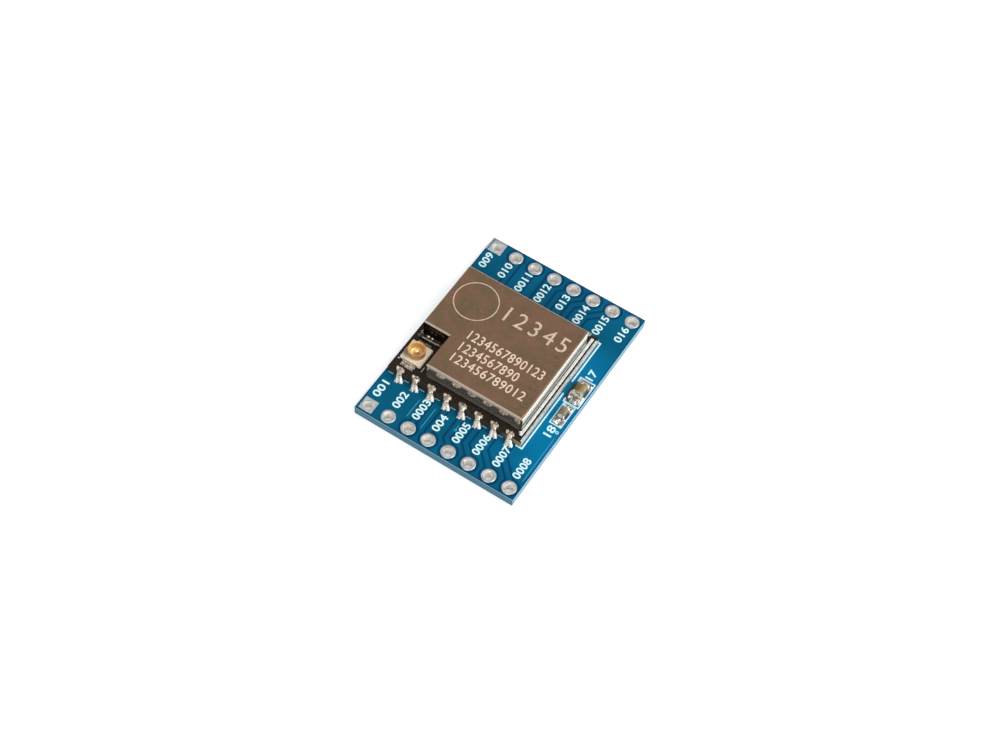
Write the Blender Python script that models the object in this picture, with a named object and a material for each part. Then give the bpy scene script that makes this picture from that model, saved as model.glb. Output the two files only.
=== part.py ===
"""Shielded radio module soldered on a blue breakout board with two rows of plated header holes.

All sizes are in millimetres and become metres when a mesh is made. X runs along the header
rows, Y from the front row to the back row, Z up. The origin is the centre of the underside.
"""

import math

import bmesh
import bpy

MM = 0.001

# Header rows and their plated holes
PITCH = 2.54
PINS = 8
ROW_SPACING = 25.4
HOLE_D = 1.0
PLATING_T = 0.05
PAD_D = 1.75
PAD_T = 0.05
PAD_CROWN = 0.04
PAD_SIDES = 16

# Faces that meet at fewer degrees than this are shaded as one round surface
ROUND_UNDER = 40
SOLDER_ROUND_UNDER = 60

# Carrier board
CARRIER_T = 1.2
ROW_END_MARGIN = 1.11
ROW_EDGE_MARGIN = 1.05
SIDE_STRIP = 2.75

# Clearances between pieces that touch on the real board
FIT = 0.01
SEAT = 0.02
SOLDER_FILM = 0.05

# Module board, with half holes along its front and back edges
CONTACT_PITCH = 2.0
CONTACTS = 8
CONTACT_D = 0.6
CONTACT_END_MARGIN = 1.5
MODULE_Y = 16.0
MODULE_T = 0.8
MODULE_INSET = 0.25
MODULE_SHIFT_Y = 0.1
ARC_STEPS = 6

# Solder joint that ties a half hole to the carrier, whose lands are a little to the right of the half holes
LAND_SHIFT = 0.45
TOE_REACH = 0.7
TOE_WIDTH = 1.0
WAIST_REACH = 0.41
WAIST_WIDTH = 0.8
WAIST_SHARE = 0.3
NECK_REACH = 0.24
NECK_WIDTH = 0.7
NECK_SHARE = 0.75
RIDGE_SPREAD = 0.5
VALLEY = 0.62
DOME_LENGTH = 0.95
DOME_WIDTH = 1.0
DOME_H = 0.17
DOME_END = math.radians(65)
DOME_STEPS = 2
DOME_SIDES = 8

# Shield can, folded from one sheet
SHEET_T = 0.2
CAN_H = 2.35
CAN_SIDE_MARGIN = 0.8
CAN_END_MARGIN = 1.2
BEND_R = 0.26
BEND_STEPS = 3
CORNER_SLIT = 0.05
FOOT_W = 0.9
FOOT_H = 0.1

# Antenna socket in the can's notch
SOCKET_SIDE = 2.6
SOCKET_BASE_H = 0.4
SOCKET_LEFT_INSET = 0.48
SOCKET_FRONT_INSET = 1.6
SOCKET_CAN_GAP = 1.0
SHELL_D = 2.0
SHELL_WALL = 0.2
SHELL_FLOOR = 0.2
SHELL_H = 1.25
SHELL_SIDES = 24
GROOVE_DEPTH = 0.07
GROOVE_Z = 0.8
GROOVE_H = 0.2
GROOVE_SLOPE_H = 0.15
RIM_CHAMFER = 0.07
LEG_REACH = 0.35
GROUND_LEG_W = 1.7
SIGNAL_LEG_W = 0.6
LEG_T = 0.12
CONTACT_PIN_D = 0.5
CONTACT_PIN_H = 0.95
CONTACT_PIN_CHAMFER = 0.08
CONTACT_PIN_SIDES = 16

# Chip parts: length between the ends, width, height
MATCHING_CHIP = (1.0, 0.5, 0.35)
CHIP_TO_CAN = 0.3
CHIP_TO_LEG = 0.35
LARGE_CAPACITOR = (2.0, 1.25, 0.85)
SMALL_CAPACITOR = (1.6, 0.8, 0.75)
TERMINAL_SHARE = 0.22
TERMINAL_STEP = 0.02
CAPACITOR_EDGE_INSET = 1.1
CAPACITOR_CENTRE_Y = -0.36
CAPACITOR_GAP = 1.62
FILLET_REACH = 0.4
FILLET_SHARE = 0.7
FILLET_HOLLOW = 0.4
FILLET_FLARE = 0.25

# Parts on the module board under the can
TRANSCEIVER_SIDE = 6.0
TRANSCEIVER_H = 0.85
CRYSTAL = (3.2, 2.5, 0.7)
SWITCH = (2.0, 1.25, 0.9)
COIL = (1.0, 0.6, 0.6)
INNER_CAPACITOR = (1.0, 0.5, 0.5)
CHIP_CHAMFER = 0.06
LID_INSET = 0.2
LID_SHARE = 0.45
INNER_SPACING = 1.7
INNER_COLUMN = 1.0
COILS = 3
INNER_CAPACITORS = 4

# Places that follow from the sizes above
ROW_SPAN = (PINS - 1) * PITCH
CONTACT_SPAN = (CONTACTS - 1) * CONTACT_PITCH
MODULE_X = CONTACT_SPAN + 2 * CONTACT_END_MARGIN
CARRIER_X = max(ROW_SPAN + 2 * ROW_END_MARGIN, MODULE_INSET + MODULE_X + SIDE_STRIP)
CARRIER_Y = ROW_SPACING + 2 * ROW_EDGE_MARGIN
BARREL_D = HOLE_D + 2 * PLATING_T
MODULE_LEFT = -CARRIER_X / 2 + MODULE_INSET
MODULE_CENTRE_X = MODULE_LEFT + MODULE_X / 2
MODULE_Z = CARRIER_T + SOLDER_FILM
MODULE_TOP = MODULE_Z + MODULE_T
SOCKET_X = MODULE_LEFT + SOCKET_LEFT_INSET + SOCKET_SIDE / 2
SOCKET_Y = MODULE_SHIFT_Y - MODULE_Y / 2 + SOCKET_FRONT_INSET + SOCKET_SIDE / 2
CHIP_Y = SOCKET_Y + SOCKET_SIDE / 2 + LEG_REACH + CHIP_TO_LEG + MATCHING_CHIP[1] / 2
CAN_LEFT = MODULE_LEFT + CAN_SIDE_MARGIN
CAN_RIGHT = MODULE_LEFT + MODULE_X - CAN_SIDE_MARGIN
CAN_FRONT = MODULE_SHIFT_Y - MODULE_Y / 2 + CAN_END_MARGIN
CAN_BACK = MODULE_SHIFT_Y + MODULE_Y / 2 - CAN_END_MARGIN
NOTCH_RIGHT = SOCKET_X + SOCKET_SIDE / 2 + SOCKET_CAN_GAP
NOTCH_BACK = CHIP_Y + MATCHING_CHIP[1] / 2 + CHIP_TO_CAN
INNER_X = (NOTCH_RIGHT + CAN_RIGHT) / 2
INNER_Y = (CAN_FRONT + CAN_BACK) / 2


def linear(red, green, blue):
    """Scene-linear colour of an 8-bit display colour."""
    scaled = [channel / 255 for channel in (red, green, blue)]
    return [c / 12.92 if c <= 0.04045 else ((c + 0.055) / 1.055) ** 2.4 for c in scaled]


def finish(name, colour, roughness, metallic):
    material = bpy.data.materials.new(name)
    material.use_nodes = True
    shader = material.node_tree.nodes["Principled BSDF"]
    shader.inputs["Base Color"].default_value = (*linear(*colour), 1)
    shader.inputs["Roughness"].default_value = roughness
    shader.inputs["Metallic"].default_value = metallic
    return material


def clear_scene():
    for obj in list(bpy.data.objects):
        bpy.data.objects.remove(obj, do_unlink=True)


def add_object(name, mesh, material=None, place=(0, 0, 0), turn=0.0, parent=None):
    obj = bpy.data.objects.new(name, mesh)
    bpy.context.scene.collection.objects.link(obj)
    obj.location = [value * MM for value in place]
    obj.rotation_euler.z = math.radians(turn)
    obj.parent = parent
    if material and not mesh.materials:
        mesh.materials.append(material)
    return obj


def round_ring(radius, z, sides):
    angles = [2 * math.pi * step / sides for step in range(sides)]
    return [(radius * math.cos(a), radius * math.sin(a), z) for a in angles]


def square_ring(half, z, sides):
    """A square with as many points as a round ring, spread by angle so that corners fall on points."""
    ring = []
    for x, y, height in round_ring(1, z, sides):
        reach = half / max(abs(x), abs(y))
        ring.append((x * reach, y * reach, height))
    return ring


def box_rings(low, high):
    (x0, y0, z0), (x1, y1, z1) = low, high
    return [[(x0, y0, z), (x1, y0, z), (x1, y1, z), (x0, y1, z)] for z in (z0, z1)]


def add_loft(bm, rings, looped=False):
    """Joins rings of equal length by quads. The ends are capped, or joined to each other when looped."""
    rows = [[bm.verts.new([value * MM for value in point]) for point in ring] for ring in rings]
    pairs = list(zip(rows, rows[1:]))
    if looped:
        pairs.append((rows[-1], rows[0]))
    else:
        bm.faces.new(rows[0])
        bm.faces.new(rows[-1])
    for lower, upper in pairs:
        for a, b, c, d in zip(lower, lower[1:] + lower[:1], upper[1:] + upper[:1], upper):
            bm.faces.new((a, b, c, d))


def smooth(mesh, round_under=ROUND_UNDER):
    mesh.shade_smooth()
    mesh.set_sharp_from_angle(angle=math.radians(round_under))


def mesh_of(name, lofts, round_under=None):
    """One mesh from a list of (rings, looped) lofts, faces outwards."""
    bm = bmesh.new()
    for rings, looped in lofts:
        add_loft(bm, rings, looped)
    bmesh.ops.recalc_face_normals(bm, faces=bm.faces)
    mesh = bpy.data.meshes.new(name)
    bm.to_mesh(mesh)
    bm.free()
    if round_under:
        smooth(mesh, round_under)
    return mesh


def add_boolean(obj, other, operation):
    modifier = obj.modifiers.new(operation.lower(), "BOOLEAN")
    modifier.operation = operation
    modifier.solver = "EXACT"
    modifier.object = other
    other.hide_render = True
    other.display_type = "WIRE"


def bake(obj, helpers, name):
    """The mesh that the object's Booleans give, with the object and its helpers removed."""
    bpy.context.view_layer.update()
    graph = bpy.context.evaluated_depsgraph_get()
    mesh = bpy.data.meshes.new_from_object(obj.evaluated_get(graph))
    mesh.name = name
    for used in [obj, *helpers]:
        bpy.data.objects.remove(used, do_unlink=True)
    return mesh


def header_places():
    """(name ending, x, y, square) of each plated hole. The first of each row is square."""
    places = []
    for row, y in (("front", -ROW_SPACING / 2), ("back", ROW_SPACING / 2)):
        for pin in range(PINS):
            places.append((f"{row}_{pin + 1}", -ROW_SPAN / 2 + pin * PITCH, y, pin == 0))
    return places


def header_pad_mesh(square):
    """Plated barrel with a ring at each face: flush below, with a low solder crown above."""
    land = square_ring if square else round_ring
    outer = PAD_D / 2
    barrel = BARREL_D / 2
    bore = HOLE_D / 2
    crown = CARRIER_T + PAD_CROWN
    rings = [
        round_ring(bore, 0, PAD_SIDES),
        land(outer, 0, PAD_SIDES),
        land(outer, PAD_T, PAD_SIDES),
        round_ring(barrel, PAD_T, PAD_SIDES),
        round_ring(barrel, CARRIER_T - PAD_T, PAD_SIDES),
        land(outer, CARRIER_T - PAD_T, PAD_SIDES),
        land(outer, CARRIER_T, PAD_SIDES),
        land((outer + barrel) / 2, crown, PAD_SIDES),
        round_ring(bore, CARRIER_T, PAD_SIDES),
    ]
    return mesh_of("square_header_pad" if square else "round_header_pad", [(rings, True)], ROUND_UNDER)


def header_hole_rings(x, y, square):
    """Spool that clears a header pad: the hole, and the opening in the mask at each face."""
    land = square_ring if square else round_ring
    outer = PAD_D / 2 + FIT
    barrel = BARREL_D / 2 + FIT
    recess = PAD_T + FIT
    levels = [
        (land, outer, -PAD_T),
        (land, outer, recess),
        (round_ring, barrel, recess),
        (round_ring, barrel, CARRIER_T - recess),
        (land, outer, CARRIER_T - recess),
        (land, outer, CARRIER_T + PAD_T),
    ]
    rings = [shape(size, z, PAD_SIDES) for shape, size, z in levels]
    return [[(x + px, y + py, z) for px, py, z in ring] for ring in rings]


def make_carrier(root):
    mask = finish("blue_solder_mask", (0, 100, 152), 0.35, 0.0)
    half_x, half_y = CARRIER_X / 2, CARRIER_Y / 2
    slab = box_rings((-half_x, -half_y, 0), (half_x, half_y, CARRIER_T))
    mesh = mesh_of("carrier_board", [(slab, False)])
    board = add_object("carrier_board", mesh, mask, parent=root)
    spools = [(header_hole_rings(x, y, square), False) for _, x, y, square in header_places()]
    cutter = add_object("header_hole_cutter", mesh_of("header_hole_cutter", spools), parent=root)
    add_boolean(board, cutter, "DIFFERENCE")


def make_header_pads(root):
    tin = finish("tinned_pad", (205, 205, 198), 0.3, 1.0)
    meshes = {square: header_pad_mesh(square) for square in (True, False)}
    for ending, x, y, square in header_places():
        add_object(f"header_pad_{ending}", meshes[square], tin, (x, y, 0), parent=root)


def module_outline():
    """Module board seen from above, from its front left corner, with a half hole at each contact."""
    half_x, half_y = MODULE_X / 2, MODULE_Y / 2
    radius = CONTACT_D / 2
    front = [(-half_x, -half_y)]
    for contact in range(CONTACTS):
        centre = -CONTACT_SPAN / 2 + contact * CONTACT_PITCH
        for step in range(ARC_STEPS + 1):
            angle = math.pi * (1 - step / ARC_STEPS)
            front.append((centre + radius * math.cos(angle), -half_y + radius * math.sin(angle)))
    front.append((half_x, -half_y))
    return front + [(-x, -y) for x, y in front]


def make_module_board(root):
    laminate = finish("module_laminate", (38, 36, 32), 0.5, 0.0)
    rings = [[(x, y, z) for x, y in module_outline()] for z in (0, MODULE_T)]
    mesh = mesh_of("module_board", [(rings, False)], ROUND_UNDER)
    place = (MODULE_CENTRE_X, MODULE_SHIFT_Y, MODULE_Z)
    add_object("module_board", mesh, laminate, place, parent=root)


def fillet_ring(centre_x, width, reach, z):
    """Outline of the solder in front of the edge: two ridges with a valley between, back at the edge."""
    half = width / 2
    crest = half * RIDGE_SPREAD
    ring = [
        (-half, -SEAT),
        (-half, -reach * VALLEY),
        (-crest, -reach),
        (0, -reach * VALLEY),
        (crest, -reach),
        (half, -reach * VALLEY),
        (half, -SEAT),
    ]
    return [(centre_x + x, y, z) for x, y in ring]


def dome_rings(centre_y, z):
    """Low oval dome that ends in a small flat top."""
    rings = []
    for step in range(DOME_STEPS + 1):
        angle = DOME_END * step / DOME_STEPS
        rise = DOME_H * math.sin(angle) / math.sin(DOME_END)
        oval = round_ring(math.cos(angle) / 2, z + rise, DOME_SIDES)
        rings.append([(x * DOME_WIDTH, centre_y + y * DOME_LENGTH, level) for x, y, level in oval])
    return rings


def solder_joint_mesh(shift):
    """Solder of one contact, front towards -Y, its toe moved along X by shift.

    Its origin is on the module's edge, at the carrier's top.
    """
    foot = SEAT
    top = SOLDER_FILM + MODULE_T + SEAT
    rise = top - foot
    fillet = [
        fillet_ring(shift, TOE_WIDTH, TOE_REACH, foot),
        fillet_ring(shift * (1 - WAIST_SHARE), WAIST_WIDTH, WAIST_REACH, foot + rise * WAIST_SHARE),
        fillet_ring(shift * (1 - NECK_SHARE), NECK_WIDTH, NECK_REACH, foot + rise * NECK_SHARE),
        fillet_ring(0, NECK_WIDTH, NECK_REACH, top + DOME_H / 3),
    ]
    core_radius = CONTACT_D / 2 - SEAT
    core = [round_ring(core_radius, z, DOME_SIDES) for z in (foot + SEAT, top + DOME_H / 2)]
    dome = dome_rings(DOME_LENGTH / 2 - NECK_REACH, top)
    body = add_object("joint_fillet", mesh_of("joint_fillet", [(fillet, False)]))
    helpers = []
    for name, rings in (("joint_core", core), ("joint_dome", dome)):
        helper = add_object(name, mesh_of(name, [(rings, False)]))
        add_boolean(body, helper, "UNION")
        helpers.append(helper)
    mesh = bake(body, helpers, "solder_joint")
    smooth(mesh, SOLDER_ROUND_UNDER)
    return mesh


def make_solder_joints(root, solder):
    for row, side in (("front", -1), ("back", 1)):
        mesh = solder_joint_mesh(-side * LAND_SHIFT)
        y = MODULE_SHIFT_Y + side * MODULE_Y / 2
        for contact in range(CONTACTS):
            x = MODULE_CENTRE_X - CONTACT_SPAN / 2 + contact * CONTACT_PITCH
            name = f"solder_joint_{row}_{contact + 1}"
            turn = 180 if side > 0 else 0
            add_object(name, mesh, solder, (x, y, CARRIER_T), turn, root)


def can_outline(inset, z):
    """L-shaped outline of the can, moved inwards by inset."""
    left, right = CAN_LEFT + inset, CAN_RIGHT - inset
    front, back = CAN_FRONT + inset, CAN_BACK - inset
    inner_x, inner_y = NOTCH_RIGHT + inset, NOTCH_BACK + inset
    corners = [(left, back), (left, inner_y), (inner_x, inner_y)]
    corners += [(inner_x, front), (right, front), (right, back)]
    return [(x, y, z) for x, y in corners]


def bend_rings(inset, top, radius):
    """Rings of a wall that turns into the lid with a round bend, from the wall up to the lid."""
    rings = []
    for step in range(BEND_STEPS + 1):
        angle = math.pi / 2 * step / BEND_STEPS
        side = inset + radius * (1 - math.cos(angle))
        rings.append(can_outline(side, top - radius + radius * math.sin(angle)))
    return rings


def can_cutters():
    """Slits at the can's corners, and the gap under each wall between its two feet."""
    middle = can_outline(SHEET_T / 2, 0)
    reach = SHEET_T / 2 + CORNER_SLIT
    slit_top = CAN_H - BEND_R
    cutters = []
    for x, y, _ in middle:
        cutters.append(box_rings((x - reach, y - reach, -FOOT_H), (x + reach, y + reach, slit_top)))
    for (x0, y0, _), (x1, y1, _) in zip(middle, middle[1:] + middle[:1]):
        along_x = abs(x1 - x0) > abs(y1 - y0)
        shrink_x, shrink_y = (FOOT_W, -SHEET_T) if along_x else (-SHEET_T, FOOT_W)
        low = (min(x0, x1) + shrink_x, min(y0, y1) + shrink_y, -FOOT_H)
        high = (max(x0, x1) - shrink_x, max(y0, y1) - shrink_y, FOOT_H)
        cutters.append(box_rings(low, high))
    return [(rings, False) for rings in cutters]


def make_shield_can(root):
    """One thin sheet: lid, round bends and walls that stand on small feet at the corners."""
    nickel = finish("shield_nickel", (128, 104, 84), 0.35, 1.0)
    outside = [can_outline(0, 0), *bend_rings(0, CAN_H, BEND_R)]
    inside = [can_outline(SHEET_T, 0), *bend_rings(SHEET_T, CAN_H - SHEET_T, BEND_R - SHEET_T)]
    mesh = mesh_of("shield_can", [(inside[::-1] + outside, False)], ROUND_UNDER)
    can = add_object("shield_can", mesh, nickel, (0, 0, MODULE_TOP + SEAT), parent=root)
    cutter_mesh = mesh_of("can_cutter", can_cutters())
    cutter = add_object("can_cutter", cutter_mesh, place=(0, 0, MODULE_TOP + SEAT), parent=root)
    add_boolean(can, cutter, "DIFFERENCE")


def shell_profile(grow):
    """(radius, height) round the socket's shell wall, from its inner foot, grown on all sides."""
    outer = SHELL_D / 2 + grow
    inner = SHELL_D / 2 - SHELL_WALL - grow
    neck = outer - GROOVE_DEPTH
    groove_low, groove_high = GROOVE_Z - GROOVE_H / 2, GROOVE_Z + GROOVE_H / 2
    return [
        (inner, SHELL_FLOOR - grow),
        (outer, SHELL_FLOOR - grow),
        (outer, groove_low - GROOVE_SLOPE_H),
        (neck, groove_low),
        (neck, groove_high),
        (outer, groove_high + GROOVE_SLOPE_H),
        (outer, SHELL_H - RIM_CHAMFER),
        (outer - RIM_CHAMFER, SHELL_H),
        (inner + RIM_CHAMFER, SHELL_H),
        (inner, SHELL_H - RIM_CHAMFER),
    ]


def leg_rings(start, width, side, grow):
    """Flat leg under the base along +Y or -Y, from start to just past the base."""
    half = width / 2 + grow
    end = SOCKET_SIDE / 2 + LEG_REACH
    near, far = sorted((side * (start - grow), side * (end + grow)))
    return box_rings((-half, near, -grow), (half, far, SHELL_FLOOR + LEG_T / 2 + grow))


def build_socket_shell(name, grow):
    """Round shell with its two ground legs, as one mesh."""
    profile = shell_profile(grow)
    wall = [round_ring(radius, z, SHELL_SIDES) for radius, z in profile]
    shell = add_object(name, mesh_of(name, [(wall, True)]))
    start = SHELL_D / 2 - SHELL_WALL / 2
    legs = [(leg_rings(start, GROUND_LEG_W, side, grow), False) for side in (-1, 1)]
    helper = add_object("ground_legs", mesh_of("ground_legs", legs))
    add_boolean(shell, helper, "UNION")
    return bake(shell, [helper], name)


def build_socket_contact(name, grow):
    """Centre pin with its signal leg towards -X, as one mesh."""
    radius = CONTACT_PIN_D / 2 + grow
    heights = (LEG_T / 2 - grow, CONTACT_PIN_H - CONTACT_PIN_CHAMFER, CONTACT_PIN_H + grow)
    radii = (radius, radius, radius - CONTACT_PIN_CHAMFER)
    pin = [round_ring(r, z, CONTACT_PIN_SIDES) for r, z in zip(radii, heights)]
    body = add_object(name, mesh_of(name, [(pin, False)]))
    half = SIGNAL_LEG_W / 2 + grow
    end = -SOCKET_SIDE / 2 - LEG_REACH - grow
    leg = box_rings((end, -half, -grow), (0, half, LEG_T + grow))
    helper = add_object("signal_leg", mesh_of("signal_leg", [(leg, False)]))
    add_boolean(body, helper, "UNION")
    return bake(body, [helper], name)


def make_antenna_socket(root):
    """Moulded base, drawn shell and centre contact. The base is cut by what it is moulded round."""
    gold = finish("socket_gold", (226, 170, 104), 0.25, 1.0)
    plastic = finish("socket_plastic", (226, 208, 182), 0.5, 0.0)
    place = (SOCKET_X, SOCKET_Y, MODULE_TOP + SEAT)
    half = SOCKET_SIDE / 2
    block = box_rings((-half, -half, 0), (half, half, SOCKET_BASE_H))
    mesh = mesh_of("socket_base", [(block, False)])
    base = add_object("socket_base", mesh, plastic, place, parent=root)
    for name, build in (("socket_shell", build_socket_shell), ("socket_contact", build_socket_contact)):
        piece = build(name, 0)
        smooth(piece)
        add_object(name, piece, gold, place, parent=root)
        grown = build(f"{name}_cutter", FIT)
        cutter = add_object(f"{name}_cutter", grown, place=place, parent=root)
        add_boolean(base, cutter, "DIFFERENCE")


def chip_mesh(name, size):
    """Chip part along X with a raised metal band at each end."""
    length, width, height = size
    band = length * TERMINAL_SHARE
    half = length / 2
    stations = [
        (-half, 0),
        (-half + band, 0),
        (-half + band, TERMINAL_STEP),
        (half - band, TERMINAL_STEP),
        (half - band, 0),
        (half, 0),
    ]
    rings = []
    for x, step in stations:
        side, top = width / 2 - step, height - step
        rings.append([(x, -side, step), (x, side, step), (x, side, top), (x, -side, top)])
    return mesh_of(name, [(rings, False)])


def chamfered_rings(length, width, height, z=0.0):
    """Block with a small chamfer round its top."""
    rings = []
    for inset, level in ((0, z), (0, z + height - CHIP_CHAMFER), (CHIP_CHAMFER, z + height)):
        x, y = length / 2 - inset, width / 2 - inset
        rings.append([(-x, -y, level), (x, -y, level), (x, y, level), (-x, y, level)])
    return rings


def make_matching_chips(root):
    """Two chip parts in the notch between the socket and the can."""
    ceramic = finish("matching_ceramic", (60, 52, 46), 0.4, 0.0)
    mesh = chip_mesh("matching_chip", MATCHING_CHIP)
    offset = (MATCHING_CHIP[0] + CHIP_TO_LEG) / 2
    for name, side in (("matching_capacitor", -1), ("matching_coil", 1)):
        place = (SOCKET_X + side * offset, CHIP_Y, MODULE_TOP + SEAT)
        add_object(name, mesh, ceramic, place, parent=root)


def fillet_mesh(name, width, height):
    """Solder that climbs a chip's end, from the end face outwards along +X, with a hollow slope."""
    hollow = (FILLET_REACH * FILLET_HOLLOW, height * FILLET_HOLLOW)
    rings = []
    for x, level in ((0, height), hollow, (FILLET_REACH, SOLDER_FILM)):
        side = width / 2 + x * FILLET_FLARE
        rings.append([(x, -side, 0), (x, side, 0), (x, side, level), (x, -side, level)])
    return mesh_of(name, [(rings, False)], ROUND_UNDER)


def make_board_capacitors(root, solder):
    """The larger capacitor behind, the smaller in front, both along Y beside the module."""
    ceramic = finish("capacitor_ceramic", (176, 128, 66), 0.45, 0.0)
    x = CARRIER_X / 2 - CAPACITOR_EDGE_INSET
    for name, size, side in (("capacitor_1", LARGE_CAPACITOR, 1), ("capacitor_2", SMALL_CAPACITOR, -1)):
        length, width, height = size
        y = CAPACITOR_CENTRE_Y + side * (CAPACITOR_GAP + length) / 2
        add_object(name, chip_mesh(name, size), ceramic, (x, y, CARRIER_T + SEAT), 90, root)
        fillet = fillet_mesh(f"{name}_solder", width, height * FILLET_SHARE)
        for ending, end in (("front", -1), ("back", 1)):
            place = (x, y + end * (length / 2 + SEAT), CARRIER_T + SEAT)
            add_object(f"{name}_solder_{ending}", fillet, solder, place, 90 * end, root)


def crystal_mesh():
    """Ceramic tray with a smaller metal lid on it."""
    length, width, height = CRYSTAL
    tray_h = height * (1 - LID_SHARE)
    tray = box_rings((-length / 2, -width / 2, 0), (length / 2, width / 2, tray_h))
    lid = chamfered_rings(length - 2 * LID_INSET, width - 2 * LID_INSET, height - tray_h, tray_h)
    return mesh_of("crystal", [(tray + lid, False)])


def make_inner_parts(root):
    """Transceiver, crystal, antenna switch, coils and capacitors on the module board, under the can."""
    z = MODULE_TOP + SEAT
    mould = finish("chip_mould", (32, 32, 34), 0.5, 0.0)
    steel = finish("crystal_lid", (190, 190, 186), 0.3, 1.0)
    ferrite = finish("coil_ferrite", (70, 78, 84), 0.5, 0.0)
    ceramic = finish("inner_ceramic", (186, 160, 120), 0.5, 0.0)
    clear = TRANSCEIVER_SIDE / 2 + INNER_COLUMN

    block = chamfered_rings(TRANSCEIVER_SIDE, TRANSCEIVER_SIDE, TRANSCEIVER_H)
    mesh = mesh_of("transceiver_chip", [(block, False)])
    add_object("transceiver_chip", mesh, mould, (INNER_X, INNER_Y, z), parent=root)

    place = (INNER_X, INNER_Y - clear - CRYSTAL[1] / 2, z)
    add_object("crystal", crystal_mesh(), steel, place, parent=root)

    mesh = mesh_of("antenna_switch", [(chamfered_rings(*SWITCH), False)])
    place = (INNER_X - clear - SWITCH[0] / 2, INNER_Y, z)
    add_object("antenna_switch", mesh, mould, place, parent=root)

    mesh = mesh_of("coil", [(chamfered_rings(*COIL), False)])
    y = INNER_Y + clear + COIL[1] / 2
    for number in range(COILS):
        x = INNER_X + (number - (COILS - 1) / 2) * INNER_SPACING
        add_object(f"coil_{number + 1}", mesh, ferrite, (x, y, z), parent=root)

    mesh = chip_mesh("inner_capacitor", INNER_CAPACITOR)
    x = INNER_X + clear + INNER_CAPACITOR[1] / 2
    for number in range(INNER_CAPACITORS):
        y = INNER_Y + (number - (INNER_CAPACITORS - 1) / 2) * INNER_SPACING
        add_object(f"inner_capacitor_{number + 1}", mesh, ceramic, (x, y, z), 90, root)


def main():
    clear_scene()
    root = add_object("radio_module_breakout", None)
    solder = finish("bright_solder", (214, 208, 196), 0.25, 1.0)
    make_carrier(root)
    make_header_pads(root)
    make_module_board(root)
    make_solder_joints(root, solder)
    make_shield_can(root)
    make_antenna_socket(root)
    make_matching_chips(root)
    make_board_capacitors(root, solder)
    make_inner_parts(root)


main()
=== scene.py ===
import math
import random

import bmesh
import bpy
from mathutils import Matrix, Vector


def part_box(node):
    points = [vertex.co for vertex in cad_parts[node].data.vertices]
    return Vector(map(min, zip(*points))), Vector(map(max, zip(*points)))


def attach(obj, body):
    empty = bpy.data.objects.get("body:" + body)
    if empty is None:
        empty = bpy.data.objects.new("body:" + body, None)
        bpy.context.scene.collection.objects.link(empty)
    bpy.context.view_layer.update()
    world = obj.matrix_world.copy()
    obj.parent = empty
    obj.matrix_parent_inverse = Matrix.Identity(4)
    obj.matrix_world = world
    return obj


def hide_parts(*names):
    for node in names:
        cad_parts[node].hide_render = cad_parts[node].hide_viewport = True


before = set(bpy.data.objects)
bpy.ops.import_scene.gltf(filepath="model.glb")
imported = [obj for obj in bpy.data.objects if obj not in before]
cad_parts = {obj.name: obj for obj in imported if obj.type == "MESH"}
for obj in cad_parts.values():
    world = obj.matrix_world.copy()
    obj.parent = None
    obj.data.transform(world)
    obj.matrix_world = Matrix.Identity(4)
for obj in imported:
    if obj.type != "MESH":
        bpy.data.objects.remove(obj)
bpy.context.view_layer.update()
print("Frame loaded with", len(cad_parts), "solids")

# Pieces are modelled in millimetres and shrunk to metres when they are finished.
mm = 0.001
random.seed(7)


def boxOf(node):
    low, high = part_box(node)
    return Vector(low) / mm, Vector(high) / mm


def middleOf(node):
    low, high = boxOf(node)
    return (low + high) / 2


# Selecting and editing.

def choose(*pieces):
    if bpy.context.mode != "OBJECT":
        bpy.ops.object.mode_set(mode="OBJECT")
    bpy.ops.object.select_all(action="DESELECT")
    for piece in pieces:
        piece.select_set(True)
    if pieces:
        bpy.context.view_layer.objects.active = pieces[0]


def openMesh(piece, mode="FACE", everything=False):
    choose(piece)
    bpy.ops.object.mode_set(mode="EDIT")
    bpy.ops.mesh.select_mode(type=mode)
    bpy.ops.mesh.select_all(action="SELECT" if everything else "DESELECT")


def closeMesh():
    bpy.ops.object.mode_set(mode="OBJECT")


def pick(kind, wanted):
    # selects the vertices, edges or faces of the open mesh that pass the test
    mesh = bmesh.from_edit_mesh(bpy.context.edit_object.data)
    bpy.ops.mesh.select_all(action="DESELECT")
    for item in getattr(mesh, kind):
        if wanted(item):
            item.select_set(True)
    mesh.select_flush_mode()
    bmesh.update_edit_mesh(bpy.context.edit_object.data)


def pullOut(x, y, z):
    bpy.ops.mesh.extrude_region_move(TRANSFORM_OT_translate={"value": (x, y, z)})


def faceOutwards():
    bpy.ops.mesh.select_all(action="SELECT")
    bpy.ops.mesh.normals_make_consistent(inside=False)


def called(piece, name):
    piece.name = name
    piece.data.name = name
    return piece


def nameAdded(name):
    piece = called(bpy.context.object, name)
    bpy.ops.object.transform_apply(location=True, rotation=True, scale=True)
    return piece


def addBox(name, low, high):
    choose()
    low, high = Vector(low), Vector(high)
    bpy.ops.mesh.primitive_cube_add(size=1, location=(low + high) / 2, scale=high - low)
    return nameAdded(name)


def addRod(radius, low, high, centre, sides=48):
    choose()
    place = (centre[0], centre[1], (low + high) / 2)
    bpy.ops.mesh.primitive_cylinder_add(vertices=sides, radius=radius, depth=high - low, location=place)
    return nameAdded("rod")


def addBall(size, centre, sides=24):
    choose()
    bpy.ops.mesh.primitive_uv_sphere_add(segments=sides, ring_count=sides // 2, radius=0.5,
                                         location=centre, scale=size)
    return nameAdded("lump")


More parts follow.
